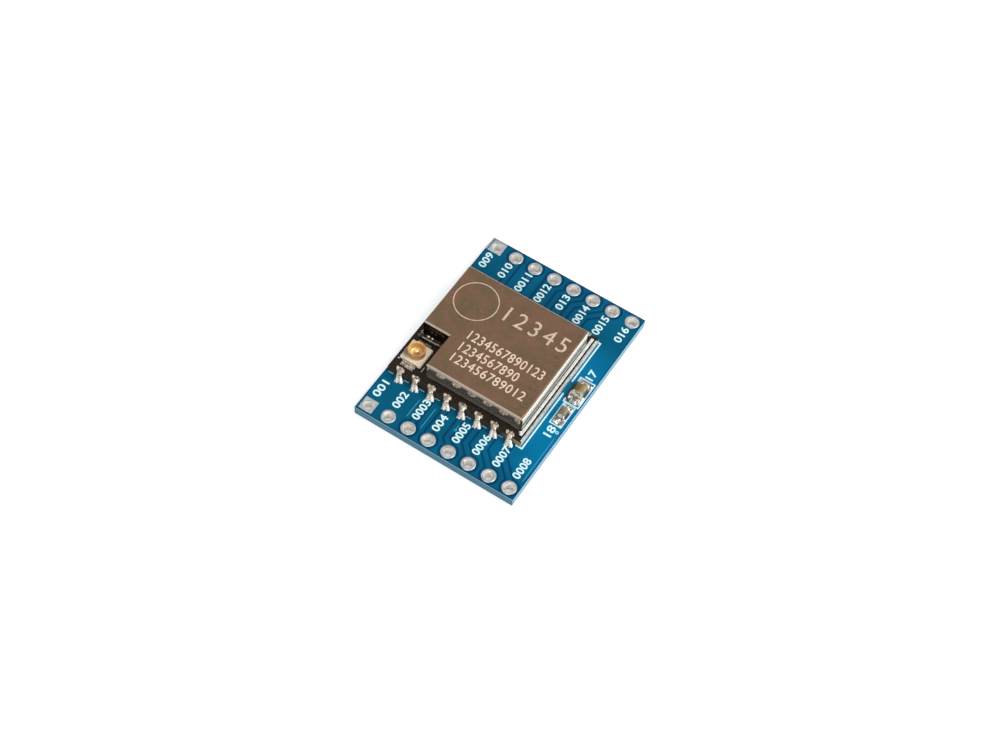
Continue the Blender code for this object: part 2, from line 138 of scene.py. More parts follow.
def addLimb(start, end, startRadius, endRadius, sides=16):
    # a tapered rod between two points
    choose()
    start, end = Vector(start), Vector(end)
    turn = (end - start).to_track_quat("Z", "Y").to_euler()
    bpy.ops.mesh.primitive_cone_add(vertices=sides, radius1=startRadius, radius2=endRadius,
                                    depth=(end - start).length, location=(start + end) / 2, rotation=turn)
    return nameAdded("lump")


def turned(name, profile, centre, sides=48):
    # a ring is drawn out again and again along the profile, then closed on itself
    choose()
    x, y = centre
    radius, z = profile[0]
    bpy.ops.mesh.primitive_circle_add(vertices=sides, radius=radius, location=(x, y, z), fill_type="NOTHING")
    piece = nameAdded(name)
    openMesh(piece, "EDGE", everything=True)
    for nextRadius, nextZ in profile[1:] + profile[:1]:
        pullOut(0, 0, nextZ - z)
        grow = nextRadius / radius
        bpy.ops.transform.resize(value=(grow, grow, 1), center_override=(x, y, nextZ))
        radius, z = nextRadius, nextZ
    bpy.ops.mesh.select_all(action="SELECT")
    bpy.ops.mesh.remove_doubles(threshold=0.0005)
    faceOutwards()
    closeMesh()
    return piece


def flatRing(name, inner, outer, low, high, centre, sides=24):
    return turned(name, [(inner, low), (outer, low), (outer, high), (inner, high)], centre, sides)


def applyModifier(piece, kind, **values):
    choose(piece)
    modifier = piece.modifiers.new(kind, kind)
    for key, value in values.items():
        setattr(modifier, key, value)
    bpy.ops.object.modifier_apply(modifier=modifier.name)


def cutAway(piece, cutter):
    applyModifier(piece, "BOOLEAN", object=cutter, operation="DIFFERENCE", solver="EXACT")
    bpy.data.objects.remove(cutter, do_unlink=True)


def joinInto(piece, others):
    choose(piece, *others)
    bpy.ops.object.join()
    return piece


def bevelEdges(piece, width, segments=3, wanted=lambda edge: True):
    openMesh(piece, "EDGE")
    pick("edges", wanted)
    bpy.ops.mesh.bevel(offset=width, segments=segments, profile=0.5, affect="EDGES", clamp_overlap=True)
    closeMesh()


def duplicate(piece, name):
    choose(piece)
    bpy.ops.object.duplicate(linked=False)
    return called(bpy.context.object, name)


def shift(piece, move, turn=0.0):
    openMesh(piece, "VERT", everything=True)
    if turn:
        bpy.ops.transform.rotate(value=turn, orient_axis="Z", center_override=(0, 0, 0))
    bpy.ops.transform.translate(value=move)
    closeMesh()


def melt(name, parts, voxel, rounds, floor):
    # overlapping lumps run together like solder, cut flat at the floor
    piece = joinInto(parts[0], parts[1:])
    piece.name = name
    applyModifier(piece, "REMESH", mode="VOXEL", voxel_size=voxel)
    applyModifier(piece, "SMOOTH", factor=0.5, iterations=rounds)
    openMesh(piece, "VERT", everything=True)
    bpy.ops.mesh.bisect(plane_co=(0, 0, floor), plane_no=(0, 0, 1), clear_inner=True, use_fill=True,
                        threshold=0.0001)
    closeMesh()
    return piece


def markFaces(piece, slotNumber, wanted):
    # gives the faces whose middle and normal pass the test the piece's material of that number
    openMesh(piece, "FACE")
    pick("faces", lambda face: wanted(face.calc_center_median(), face.normal))
    piece.active_material_index = slotNumber
    bpy.ops.object.material_slot_assign()
    closeMesh()


def wear(piece, *materials):
    piece.data.materials.clear()
    for material in materials:
        piece.data.materials.append(material)


def finishPiece(piece, material, replaces=(), smooth=35):
    choose(piece)
    bpy.ops.object.transform_apply(location=True, rotation=True, scale=True)
    piece.scale = (mm, mm, mm)
    bpy.ops.object.transform_apply(location=True, rotation=True, scale=True)
    if smooth:
        bpy.ops.object.shade_smooth_by_angle(angle=math.radians(smooth))
    if material:
        wear(piece, material)
    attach(piece, "root")
    if replaces:
        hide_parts(*replaces)


# Material building.

def linear(colour):
    # an 8-bit display colour as the shader wants it, and a socket as it is
    if isinstance(colour, bpy.types.NodeSocket):
        return colour
    scaled = [channel / 255 for channel in colour]
    return [c / 12.92 if c <= 0.04045 else ((c + 0.055) / 1.055) ** 2.4 for c in scaled] + [1]


class Tree:
    # short ways to add and link the nodes of a material, a group or the world
    def __init__(self, tree):
        self.nodes, self.links = tree.nodes, tree.links
        self.place = None

    def put(self, socket, value):
        if isinstance(value, bpy.types.NodeSocket):
            self.links.new(value, socket)
        else:
            socket.default_value = value

    def add(self, kind, inputs=None, **settings):
        node = self.nodes.new(kind)
        for key, value in settings.items():
            setattr(node, key, value)
        for key, value in (inputs or {}).items():
            self.put(node.inputs[key], value)
        return node

    def coordinates(self):
        # object coordinates in millimetres
        if not self.place:
            source = self.add("ShaderNodeTexCoord").outputs["Object"]
            mapping = self.add("ShaderNodeMapping", {"Vector": source, "Scale": (1 / mm, 1 / mm, 1 / mm)})
            self.place = mapping.outputs["Vector"]
        return self.place

    def axis(self, letter):
        return self.add("ShaderNodeSeparateXYZ", {"Vector": self.coordinates()}).outputs[letter]

    def facing(self, letter):
        normal = self.add("ShaderNodeTexCoord").outputs["Normal"]
        return self.add("ShaderNodeSeparateXYZ", {"Vector": normal}).outputs[letter]

    def noise(self, scale, detail=3.0, roughness=0.6, stretch=None):
        place = self.coordinates()
        if stretch:
            place = self.add("ShaderNodeMapping", {"Vector": place, "Scale": stretch}).outputs["Vector"]
        values = {"Vector": place, "Scale": scale, "Detail": detail, "Roughness": roughness}
        return self.add("ShaderNodeTexNoise", values).outputs["Fac"]

    def math(self, operation, *values):
        return self.add("ShaderNodeMath", dict(enumerate(values)), operation=operation).outputs[0]

    def plus(self, first, second):
        return self.math("ADD", first, second)

    def less(self, first, second):
        return self.math("SUBTRACT", first, second)

    def times(self, first, second):
        return self.math("MULTIPLY", first, second)

    def size(self, value):
        return self.math("ABSOLUTE", value)

    def turnedTo(self, letter):
        # one on the faces that look along that axis
        return self.ramp(self.facing(letter), 0.4, 0.6)

    def upright(self):
        # one on side faces, none on the top and the underside
        return self.ramp(self.size(self.facing("Z")), 0.4, 0.6, 1.0, 0.0)

    def reach(self, x, y):
        # distance in the plane from a point
        across, along = self.less(self.axis("X"), x), self.less(self.axis("Y"), y)
        return self.math("SQRT", self.plus(self.times(across, across), self.times(along, along)))

    def ramp(self, value, low, high, start=0.0, end=1.0):
        values = {"Value": value, "From Min": low, "From Max": high, "To Min": start, "To Max": end}
        return self.add("ShaderNodeMapRange", values).outputs["Result"]

    def mix(self, mask, first, second):
        values = {"Factor": mask, "A": linear(first), "B": linear(second)}
        return self.add("ShaderNodeMix", values, data_type="RGBA").outputs["Result"]

    def grain(self, scale, low, high):
        values = {"Scale": scale, "Low": low, "High": high}
        return self.add("ShaderNodeGroup", values, node_tree=surfaceGrain).outputs

    def seenRays(self):
        # one for rays that the camera, a gloss or a glass sees directly
        path = self.add("ShaderNodeLightPath").outputs
        seen = self.math("MAXIMUM", path["Is Camera Ray"], path["Is Glossy Ray"])
        return self.math("MAXIMUM", seen, path["Is Transmission Ray"])


class Finish(Tree):
    # one material round its Principled shader
    def __init__(self, name):
        self.material = bpy.data.materials.new(name)
        self.material.use_nodes = True
        super().__init__(self.material.node_tree)
        self.shader = self.nodes["Principled BSDF"].inputs

    def bump(self, height, strength, depth):
        values = {"Strength": strength, "Distance": depth * mm, "Height": height}
        self.put(self.shader["Normal"], self.add("ShaderNodeBump", values).outputs["Normal"])

    def done(self, colour, roughness, metallic=0.0, gloss=0.5):
        values = {"Base Color": colour, "Roughness": roughness, "Metallic": metallic}
        for name, value in values.items():
            self.put(self.shader[name], value)
        self.shader["Specular IOR Level"].default_value = gloss
        return self.material


def makeSurfaceGrain():
    # fine speckle that several finishes share: a mask and a height
    group = bpy.data.node_groups.new("surfaceGrain", "ShaderNodeTree")
    for name, value in (("Scale", 4.0), ("Low", 0.4), ("High", 0.6)):
        socket = group.interface.new_socket(name, in_out="INPUT", socket_type="NodeSocketFloat")
        socket.default_value = value
    for name in ("Mask", "Height"):
        group.interface.new_socket(name, in_out="OUTPUT", socket_type="NodeSocketFloat")
    tree = Tree(group)
    start = tree.add("NodeGroupInput").outputs
    height = tree.noise(start["Scale"], 4.0, 0.65)
    tree.add("NodeGroupOutput", {"Mask": tree.ramp(height, start["Low"], start["High"]), "Height": height})
    return group


surfaceGrain = makeSurfaceGrain()

goldLook = {
    # painted light and shade on the dish: pale on its lit side, brown on the other; the pin's pale top is a
    # painted highlight
    "pale": (255, 228, 160),
    "brown": (206, 156, 104),
    "litSide": (-0.75, 0.6),
    "rim": (190, 154, 108),
    "rimReach": (0.86, 0.93),
    "pin": (255, 226, 170),
    "pinHighlightReach": (0.22, 0.28),
    "tarnish": (170, 122, 76),
    "tarnishShare": 0.35,
}


def goldFinish(centre):
    # gold plating with painted light: pale yellow painted on the lit side of the dish, brown as painted
    # shade on the other, brown on the outer wall, and a painted highlight on the pin's top
    finish, look = Finish("socketGold"), goldLook
    speckle, height = finish.grain(3.0, 0.38, 0.66)
    across, along = finish.less(finish.axis("X"), centre.x), finish.less(finish.axis("Y"), centre.y)
    lit = finish.ramp(finish.plus(across, finish.times(along, 0.3)), *look["litSide"])
    reach = finish.reach(centre.x, centre.y)
    colour = finish.mix(lit, look["pale"], look["brown"])
    colour = finish.mix(finish.ramp(reach, *look["rimReach"]), colour, look["rim"])
    colour = finish.mix(finish.ramp(reach, *look["pinHighlightReach"], 1.0, 0.0), colour, look["pin"])
    colour = finish.mix(finish.times(speckle, look["tarnishShare"]), colour, look["tarnish"])
    finish.bump(height, 0.3, 0.02)
    return finish.done(colour, finish.ramp(speckle, 0, 1, 0.28, 0.42), 0.62)


maskLook = {
    # each pair is the mask's colour away from the can's right wall and beside it, where light is painted
    "copper": ((0, 88, 120), (0, 114, 160)),  # away from the can's right wall and beside it
    "laminate": ((0, 62, 98), (0, 80, 126)),
    "dust": (40, 150, 195),
    # the board's sides: painted shade at the front and back, painted light at the left and right, and a
    # painted highlight along the top edge
    "frontEdgeShade": (88, 132, 153),
    "sideEdgeLight": (142, 182, 200),
    "edgeLayers": (70, 120, 150),
    "edgeHighlight": (180, 215, 226),
    "edgeHighlightHeight": (1.06, 1.14),
    "roughness": 0.3,
    "gloss": 0.06,
    "weavePitch": 14.0,
    "paintedLightPlace": -1.5,
}


def maskFinish(name, base):
    # blue solder mask: teal, with painted light that brightens it beside the can's right wall, a woven
    # relief and fine dust
    finish, look = Finish(name), maskLook
    # painted light: the mask is brighter towards the can's right wall
    along = finish.size(finish.less(finish.axis("Y"), look["paintedLightPlace"]))
    glow = finish.times(finish.ramp(finish.axis("X"), 3.0, 8.0), finish.ramp(along, 5.0, 11.0, 1.0, 0.0))
    cloud = finish.ramp(finish.noise(0.25, 2.0), 0.3, 0.7, -0.25, 0.25)
    colour = finish.mix(finish.plus(glow, cloud), *look[base])
    speckle, height = finish.grain(9.0, 0.6, 0.74)
    colour = finish.mix(finish.times(speckle, 0.2), colour, look["dust"])
    rough = finish.ramp(speckle, 0, 1, look["roughness"], 0.5)
    if base == "laminate":
        # painted light and shade on the sides: darker at the front and back, lighter at the left and right,
        # with a painted highlight along the top edge
        side = finish.upright()
        layers = finish.ramp(finish.noise(1.0, 2.0, stretch=(0.3, 0.3, 9.0)), 0.35, 0.65, 0.0, 0.3)
        forward = finish.ramp(finish.size(finish.facing("Y")), 0.4, 0.6)
        edge = finish.mix(forward, look["sideEdgeLight"], look["frontEdgeShade"])
        topHighlight = finish.ramp(finish.axis("Z"), *look["edgeHighlightHeight"], 0.0, 0.7)
        edge = finish.mix(topHighlight, finish.mix(layers, edge, look["edgeLayers"]), look["edgeHighlight"])
        colour = finish.mix(side, colour, edge)
        rough = finish.plus(rough, finish.times(side, 0.25))
    waves = [finish.math("SINE", finish.times(finish.axis(axis), look["weavePitch"])) for axis in "XY"]
    finish.bump(finish.plus(finish.times(finish.plus(*waves), 0.1), height), 0.25, 0.01)
    return finish.done(colour, rough, 0.0, look["gloss"])


def inkFinish(name, base, tint):
    # pale print with pinholes
    finish = Finish(name)
    speckle, height = finish.grain(7.0, 0.55, 0.8)
    finish.bump(height, 0.2, 0.01)
    return finish.done(finish.mix(speckle, base, tint), 0.6, 0.0, 0.2)


def metalFinish(name, base, tint, rough, grainScale=5.0, relief=0.3, depth=0.02, metallic=1.0, gloss=0.5):
    # plated or soldered metal with cloudy tint, uneven gloss and a little relief
    finish = Finish(name)
    speckle, height = finish.grain(grainScale, 0.38, 0.66)
    finish.bump(height, relief, depth)
    uneven = finish.ramp(speckle, 0, 1, rough, rough + 0.15)
    return finish.done(finish.mix(speckle, base, tint), uneven, metallic, gloss)


def plainFinish(name, base, tint, rough, grainScale=6.0):
    # moulded or fired body with mottled colour
    return metalFinish(name, base, tint, rough, grainScale, 0.2, 0.01, 0.0, 0.25)


def moundFinish(name, base, tint, glint, scale):
    # frozen solder: a grey skin with dark mottling and painted white glints
    finish = Finish(name)
    speckle, height = finish.grain(scale, 0.42, 0.6)
    paintedGlint = finish.ramp(finish.noise(scale * 1.4, 2.0, 0.5), 0.55, 0.6, 0.0, glint)
    finish.bump(height, 0.6, 0.06)
    return finish.done(finish.mix(paintedGlint, finish.mix(speckle, base, tint), (254, 252, 246)), 0.28, 0.4)


ceramicLook = {"speck": (84, 70, 36), "flankShade": (74, 86, 90), "warmFrom": 0.42, "warmTo": 0.8}


def ceramicFinish(name, node, left, right):
    # fired ceramic, dull at its left, warm at its right, with painted shade on its right flank
    finish, look = Finish(name), ceramicLook
    low, high = boxOf(node)
    speckle, height = finish.grain(2.0, 0.44, 0.6)
    uneven = finish.ramp(finish.noise(1.2, 2.0), 0.3, 0.7, -0.25, 0.25)
    wide = high.x - low.x
    turn = finish.ramp(finish.axis("X"), low.x + look["warmFrom"] * wide, low.x + look["warmTo"] * wide)
    colour = finish.mix(finish.plus(turn, uneven), left, right)
    colour = finish.mix(finish.times(speckle, 0.5), colour, look["speck"])
    colour = finish.mix(finish.turnedTo("X"), colour, look["flankShade"])
    finish.bump(height, 0.3, 0.02)
    return finish.done(colour, 0.42, 0.0, 0.25)


socketLook = {
    "base": (248, 236, 216),
    "shade": (232, 213, 185),
    # colour, place from the middle, and the reach inside and outside of which it is full and gone: first the
    # shell's painted shadow, then a painted highlight
    "paintedShadeAndHighlight": (((134, 122, 86), -0.9, -0.35, 0.35, 1.0), ((244, 220, 204), -1.15, 1.2, 0.2, 0.7)),
}


def socketBaseFinish(centre):
    # cream plastic, with the shell's shadow painted beside it and a pinkish painted highlight at its
    # back-left corner
    finish, look = Finish("socketPlastic"), socketLook
    speckle, height = finish.grain(6.0, 0.38, 0.66)
    colour = finish.mix(speckle, look["base"], look["shade"])
    for paintedTone, x, y, inner, outer in look["paintedShadeAndHighlight"]:
        reach = finish.reach(centre.x + x, centre.y + y)
        colour = finish.mix(finish.ramp(reach, inner, outer, 0.95, 0.0), colour, paintedTone)
    finish.bump(height, 0.2, 0.01)
    return finish.done(colour, 0.5, 0.0, 0.25)


moduleLook = {
    "top": ((32, 26, 20), (70, 62, 48)),
    "edge": ((38, 36, 29), (64, 61, 50)),
    "edgeRight": (146, 142, 104),
    "rightFrom": (4.6, 6.6),
    "plated": ((150, 160, 154), (236, 242, 238)),
    "platedRise": (1.3, 1.95),
    "platedPatch": (150, 154, 148),
}


def moduleFinish():
    # black mask above, olive laminate at the cut edges, bright where the right edge is plated
    finish, look = Finish("moduleLaminate"), moduleLook
    speckle, height = finish.grain(4.0, 0.5, 0.7)
    black = finish.mix(finish.times(speckle, 0.6), *look["top"])
    layers = finish.ramp(finish.noise(1.2, 2.0, stretch=(0.4, 0.4, 8.0)), 0.35, 0.65)
    olive = finish.mix(layers, *look["edge"])
    olive = finish.mix(finish.ramp(finish.axis("X"), *look["rightFrom"]), olive, look["edgeRight"])
    plated = finish.mix(finish.ramp(finish.axis("Z"), *look["platedRise"]), *look["plated"])
    patch = finish.ramp(finish.noise(1.1, 3.0, stretch=(0.6, 0.6, 1.0)), 0.4, 0.6, 0.0, 0.5)
    plated = finish.mix(patch, plated, look["platedPatch"])
    edge = finish.mix(finish.turnedTo("X"), olive, plated)
    finish.bump(height, 0.3, 0.01)
    return finish.done(finish.mix(finish.upright(), black, edge), 0.4, 0.0, 0.12)


canShape = {"bend": 0.26, "sheet": 0.2, "slit": 0.1, "footWidth": 0.9, "footGap": 0.1, "steps": 6,
            "notch": (-5.67, -2.2)}

shieldLook = {
    "lid": (119, 96, 79),
    "olive": (104, 90, 66),
    "red": (130, 95, 78),
    "evenness": 0.4,
    "speck": (172, 146, 124),
    "pit": (78, 60, 48),
    # painted highlights: on the right bends and the top of the right wall, dimmer on the front bends; the
    # left bends keep the lid's brown
    "bend": (255, 252, 245),
    "frontBendHighlight": (184, 170, 154),
    "plainBend": (118, 98, 82),
    # the right wall's painted reflections: dark in its middle, pale at its foot
    "wallDarkReflection": (60, 62, 57),
    "wallBrushed": (96, 98, 91),
    "wallFootReflection": (216, 219, 212),
    "frontWall": (216, 209, 199),
    "frontSmear": (178, 171, 161),
    # painted shade on the can's wall in the notch, and in the slits at its corners
    "notchWallShade": (66, 56, 46),
    "slit": (26, 23, 20),
    "lidRoughness": 0.34,
    "wallRoughness": 0.09,
}


def shieldFinish():
    # satin sheet metal: brown mottled lid, painted highlights on the bends, brushed walls: the front and
    # back ones mirror what stands before them, the right one has its reflections painted
    finish, look = Finish("shieldNickel"), shieldLook
    cloud = finish.ramp(finish.noise(0.6, 4.0), 0.36, 0.64)
    lid = finish.mix(look["evenness"], finish.mix(cloud, look["red"], look["olive"]), look["lid"])
    speckle, height = finish.grain(4.0, 0.6, 0.74)
    lid = finish.mix(finish.times(speckle, 0.45), lid, look["speck"])
    worn = finish.ramp(finish.axis("X"), 3.5, 6.2, 0.0, 0.05)
    pit = finish.ramp(finish.less(finish.noise(2.2, 5.0, 0.8), worn), 0.33, 0.39, 1.0, 0.0)
    lid = finish.mix(finish.times(pit, 0.6), lid, look["pit"])
    rise, across, upward = finish.axis("Z"), finish.facing("X"), finish.facing("Z")
    sideways = finish.ramp(across, 0.1, 0.3)
    uneven = finish.ramp(finish.noise(0.7, 3.0, stretch=(0.6, 0.6, 0.1)), 0.3, 0.7, -0.08, 0.08)
    level = finish.plus(rise, uneven)
    # the right wall, with painted reflections: a pale painted reflection at its foot, a dark painted
    # reflection with brushed streaks in its middle, a painted highlight up to the bend, and painted shade in
    # the slits at its corners
    wall = finish.mix(finish.ramp(level, 2.15, 2.72), look["wallFootReflection"], look["wallDarkReflection"])
    brushed = finish.ramp(finish.noise(1.0, 3.0, stretch=(0.25, 0.25, 9.0)), 0.3, 0.7, 0.0, 0.25)
    wall = finish.mix(brushed, wall, look["wallBrushed"])
    wall = finish.mix(finish.ramp(level, 3.0, 3.88), wall, look["bend"])
    wall = finish.mix(finish.ramp(finish.axis("X"), 6.34, 6.38, 1.0, 0.0), wall, look["slit"])
    # the other walls: smeared, with painted shade in the notch and the bend's painted highlight reaching
    # down
    smear = finish.ramp(finish.noise(1.0, 3.0, stretch=(0.3, 0.3, 5.0)), 0.35, 0.65, 0.0, 0.8)
    front = finish.mix(smear, look["frontWall"], look["frontSmear"])
    notchY = finish.size(finish.less(finish.axis("Y"), canShape["notch"][1]))
    notch = finish.ramp(notchY, 0.02, 0.05, 1.0, 0.0)
    front = finish.mix(notch, front, look["notchWallShade"])
    browHighlight = finish.times(finish.ramp(rise, 3.84, 4.06), finish.less(1.0, notch))
    front = finish.mix(browHighlight, front, look["frontBendHighlight"])
    wallMask = finish.ramp(upward, 0.06, 0.2, 1.0, 0.0)
    lidMask = finish.mix(sideways, finish.ramp(upward, 0.9, 0.97), finish.ramp(upward, 0.36, 0.54))
    # the bends: a painted highlight, white on the right, dimmer at the front, none on the left
    bend = finish.mix(sideways, look["frontBendHighlight"], look["bend"])
    bend = finish.mix(finish.ramp(across, -0.3, -0.1, 1.0, 0.0), bend, look["plainBend"])
    colour = finish.mix(wallMask, bend, finish.mix(sideways, front, wall))
    colour = finish.mix(lidMask, colour, lid)
    finish.bump(height, 0.1, 0.01)
    rough = finish.ramp(lidMask, 0, 1, look["wallRoughness"], look["lidRoughness"])
    bendMask = finish.times(finish.less(1.0, wallMask), finish.less(1.0, lidMask))
    mirror = finish.times(finish.ramp(level, 2.2, 2.9, 0.8, 0.9), finish.ramp(sideways, 0, 1, 1.0, 0.0))
    sheen = finish.times(mirror, finish.ramp(finish.math("MAXIMUM", bendMask, browHighlight), 0, 1, 1.0, 0.2))
    return finish.done(colour, rough, finish.math("MAXIMUM", sheen, lidMask), 0.05)


copperMask = maskFinish("maskOverCopper", "copper")
boardMask = maskFinish("maskOverLaminate", "laminate")
moduleMask = moduleFinish()
shieldMetal = shieldFinish()
socketCream = socketBaseFinish(middleOf("socket_base"))
socketGold = goldFinish(middleOf("socket_shell"))

# tinned copper and solder: colours, roughness, grain, relief, its depth in mm, and how metallic it is
padTin = metalFinish("tinnedCopper", (188, 197, 199), (146, 154, 158), 0.3, 1.6, 0.5, 0.03)
# the rim and the barrel are painted lighter than the pad: a painted highlight on the rim, painted light in
# the barrel, which is hardly metallic
padRimHighlight = metalFinish("tinnedRimHighlight", (226, 226, 220), (120, 118, 112), 0.3, 1.4, 0.5, 0.03, 0.6)
padBarrelLight = metalFinish("tinnedBarrelLight", (255, 252, 248), (222, 214, 206), 0.45, 1.6, 0.4, 0.03, 0.06)
solderTin = metalFinish("brightSolder", (194, 183, 167), (106, 96, 84), 0.26, 2.6, 0.5, 0.04, 0.85)
# painted light on the joints: the legs are painted lighter, the right toe white as a painted highlight
legTinLight = metalFinish("legSolderLight", (232, 226, 214), (150, 142, 130), 0.3, 2.6, 0.4, 0.03, 0.3)
toeHighlight = metalFinish("solderToeHighlight", (255, 255, 252), (226, 226, 220), 0.3, 3.0, 0.4, 0.03, 0.3)
heapTin = metalFinish("heapedSolder", (172, 160, 144), (56, 50, 44), 0.28, 2.6, 0.8, 0.08, 0.6)
smallTerminal = metalFinish("smallTerminal", (88, 80, 70), (40, 36, 32), 0.3, 2.2, 0.4, 0.02, 0.4)
stripTin = metalFinish("tinnedStrip", (214, 219, 215), (150, 156, 152), 0.32, 2.2, 0.5, 0.03, 0.5)
landTin = metalFinish("tinnedLand", (250, 250, 244), (214, 216, 208), 0.3, 2.2, 0.5, 0.03, 0.3)
# a painted highlight along the matching chips' front top edge
chipEdgeHighlight = metalFinish("chipEdgeHighlight", (214, 196, 170), (150, 136, 116), 0.3, 3.0, 0.3, 0.02, 0.4)
lidSteel = metalFinish("crystalLid", (190, 190, 186), (160, 160, 158), 0.3)
moundTin = moundFinish("moundSolder", (168, 166, 160), (70, 64, 62), 1.0, 1.7)
chipTin = moundFinish("chipTerminal", (206, 196, 180), (100, 94, 88), 0.6, 1.5)

# print, and marks on the lid
ink = inkFinish("printInk", (214, 248, 252), (150, 214, 234))
moduleInk = inkFinish("moduleInk", (196, 180, 158), (156, 142, 124))
glintInk = inkFinish("traceGlint", (74, 170, 214), (40, 130, 184))
edgeInk = inkFinish("edgePrint", (158, 190, 194), (112, 150, 158))
dimInk = inkFinish("notchPrint", (112, 112, 96), (84, 84, 72))
markTint = plainFinish("etchedMark", (240, 216, 194), (220, 192, 168), 0.55)
dimMark = plainFinish("etchedMarkDim", (222, 198, 174), (188, 160, 136), 0.55, 3.0)

# chip bodies, painted shadow patches and a painted corner highlight
chipOchre = ceramicFinish("capacitorCeramic", "capacitor_1", (106, 86, 38), (184, 164, 122))
chipPale = ceramicFinish("capacitorCeramicPale", "capacitor_2", (126, 124, 100), (168, 150, 122))
chipDark = plainFinish("matchingCeramic", (30, 26, 24), (52, 46, 40), 0.4)
chipTan = plainFinish("innerCeramic", (186, 160, 120), (160, 134, 96), 0.5)
mouldBlack = plainFinish("chipMould", (32, 32, 34), (52, 52, 54), 0.5)
coilDark = plainFinish("coilFerrite", (70, 78, 84), (50, 56, 62), 0.5)
# painted shadow: dark patches on the board beside the capacitors
shadowPatchFinish = plainFinish("paintedShadow", (66, 90, 102), (44, 66, 78), 0.3, 2.0)
shadowEdgeFinish = plainFinish("paintedShadowEdge", (16, 74, 98), (34, 76, 88), 0.4, 3.0)
shadowDarkFinish = plainFinish("paintedShadowDark", (40, 62, 62), (30, 66, 78), 0.4, 3.0)
# a painted highlight, pale grey, at the board's back-left corner
cornerHighlightFinish = plainFinish("paintedCornerHighlight", (160, 172, 166), (132, 146, 142), 0.5, 2.0)
print("Materials made:", len(bpy.data.materials))


# Packed solids that stay as they are, with a finish of their own.

for nodes, material in (
    (["carrier_board"], boardMask),
    (["module_board"], moduleMask),
    (["transceiver_chip", "antenna_switch"], mouldBlack),
    (["crystal"], lidSteel),
    ([f"coil_{number}" for number in (1, 2, 3)], coilDark),
    ([f"inner_capacitor_{number}" for number in (1, 2, 3, 4)], chipTan),
):
    for node in nodes:
        wear(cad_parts[node], material)


# Copper under the mask, a little proud of the carrier.

carrierLow, carrierHigh = boxOf("carrier_board")
carrierTop = carrierHigh.z
moduleLow, moduleHigh = boxOf("module_board")
pinCount = 8
allPins = [(row, side, pin) for row, side in (("front", -1), ("back", 1)) for pin in range(pinCount)]
padPlaces = {(row, pin): middleOf(f"header_pad_{row}_{pin + 1}") for row, side, pin in allPins}
contactStart = {"inset": 1.5, "pitch": 2.0}

copperRun = {
    "thickness": 0.022,
    "traceWidth": 0.5,
    "clearance": 0.26,
    "edgeGap": 0.12,
    "padRing": 0.875,
    "landShift": 0.45,
    "landDepth": 0.4,
    "bendLead": 0.3,
    "past": 0.1,  # how far a cutter stands out of what it cuts
}


def contactX(pin):
    # the module's half holes, counted from its left edge
    return moduleLow.x + contactStart["inset"] + contactStart["pitch"] * pin


def moduleEdge(side):
    return moduleLow.y if side < 0 else moduleHigh.y


def tracePoints(row, side, pin):
    # from the module's land straight out, then at 45 degrees to the header pad
    pad = padPlaces[row, pin]
    landX = contactX(pin) + copperRun["landShift"]
    across = abs(pad.x - landX)
    bendY = pad.y - side * (across + copperRun["bendLead"])
    landY = moduleEdge(side) - side * copperRun["landDepth"]
    return [(landX, landY), (landX, bendY), (pad.x, bendY + side * across), (pad.x, pad.y)]


def addRun(name, points, width, low, high):
    # a strip along a path of points: a wall drawn along it and upwards, then thickened
    choose()
    bpy.ops.mesh.primitive_plane_add(size=1, location=(0, 0, 0))
    piece = nameAdded(name)
    openMesh(piece, "VERT", everything=True)
    bpy.ops.mesh.merge(type="CENTER")
    bpy.ops.transform.translate(value=(*points[0], low))
    for before, after in zip(points, points[1:]):
        pullOut(after[0] - before[0], after[1] - before[1], 0)
    bpy.ops.mesh.select_all(action="SELECT")
    pullOut(0, 0, high - low)
    faceOutwards()
    closeMesh()
    applyModifier(piece, "SOLIDIFY", thickness=width, offset=0, use_even_offset=True)
    openMesh(piece, "VERT")
    faceOutwards()
    closeMesh()
    return piece


def isGround(row, pin):
    return (row, pin) in (("front", 0), ("front", 1), ("back", 0), ("back", pinCount - 1))


def padCutter(row, pin, low, high, gap=0.0):
    # clears a header pad: square for the first of each row, round for the others
    pad, ring = padPlaces[row, pin], copperRun["padRing"]
    low, high = low - copperRun["past"], high + copperRun["past"]
    if pin == 0:
        corner = Vector((ring, ring))
        return addBox("clear", (*(pad.xy - corner), low), (*(pad.xy + corner), high))
    return addRod(ring + gap, low, high, pad)


def addPour(name, low, high):
    gap = copperRun["edgeGap"]
    return addBox(name, (carrierLow.x + gap, carrierLow.y + gap, low),
                  (carrierHigh.x - gap, carrierHigh.y - gap, high))


def makeCopper():
    low, high = carrierTop, carrierTop + copperRun["thickness"]
    pour = addPour("copperPour", low, high)
    width, clearance, past = copperRun["traceWidth"], copperRun["clearance"], copperRun["past"]
    cutters, traces = [], []
    for row, side, pin in allPins:
        if isGround(row, pin):
            cutters.append(padCutter(row, pin, low, high))
            continue
        cutters.append(padCutter(row, pin, low, high, clearance))
        points = tracePoints(row, side, pin)
        cutters.append(addRun("clear", points, width + 2 * clearance, low - past, high + past))
        trace = addRun(f"copperTrace_{row}_{pin + 1}", points, width, low, high)
        cutAway(trace, padCutter(row, pin, low, high))
        traces.append(trace)
    for cutter in cutters:
        cutAway(pour, cutter)
    for piece in traces + [pour]:
        finishPiece(piece, copperMask)


def makeUnderside():
    # a ground pour below, clear of every pad that isn't ground
    low, high = -copperRun["thickness"], 0.0
    pour = addPour("copperPourBelow", low, high)
    for row, side, pin in allPins:
        gap = 0.0 if isGround(row, pin) else copperRun["clearance"]
        cutAway(pour, padCutter(row, pin, low, high, gap))
    finishPiece(pour, copperMask)


makeCopper()
makeUnderside()
print("Copper under the mask made")


# Print on the carrier.

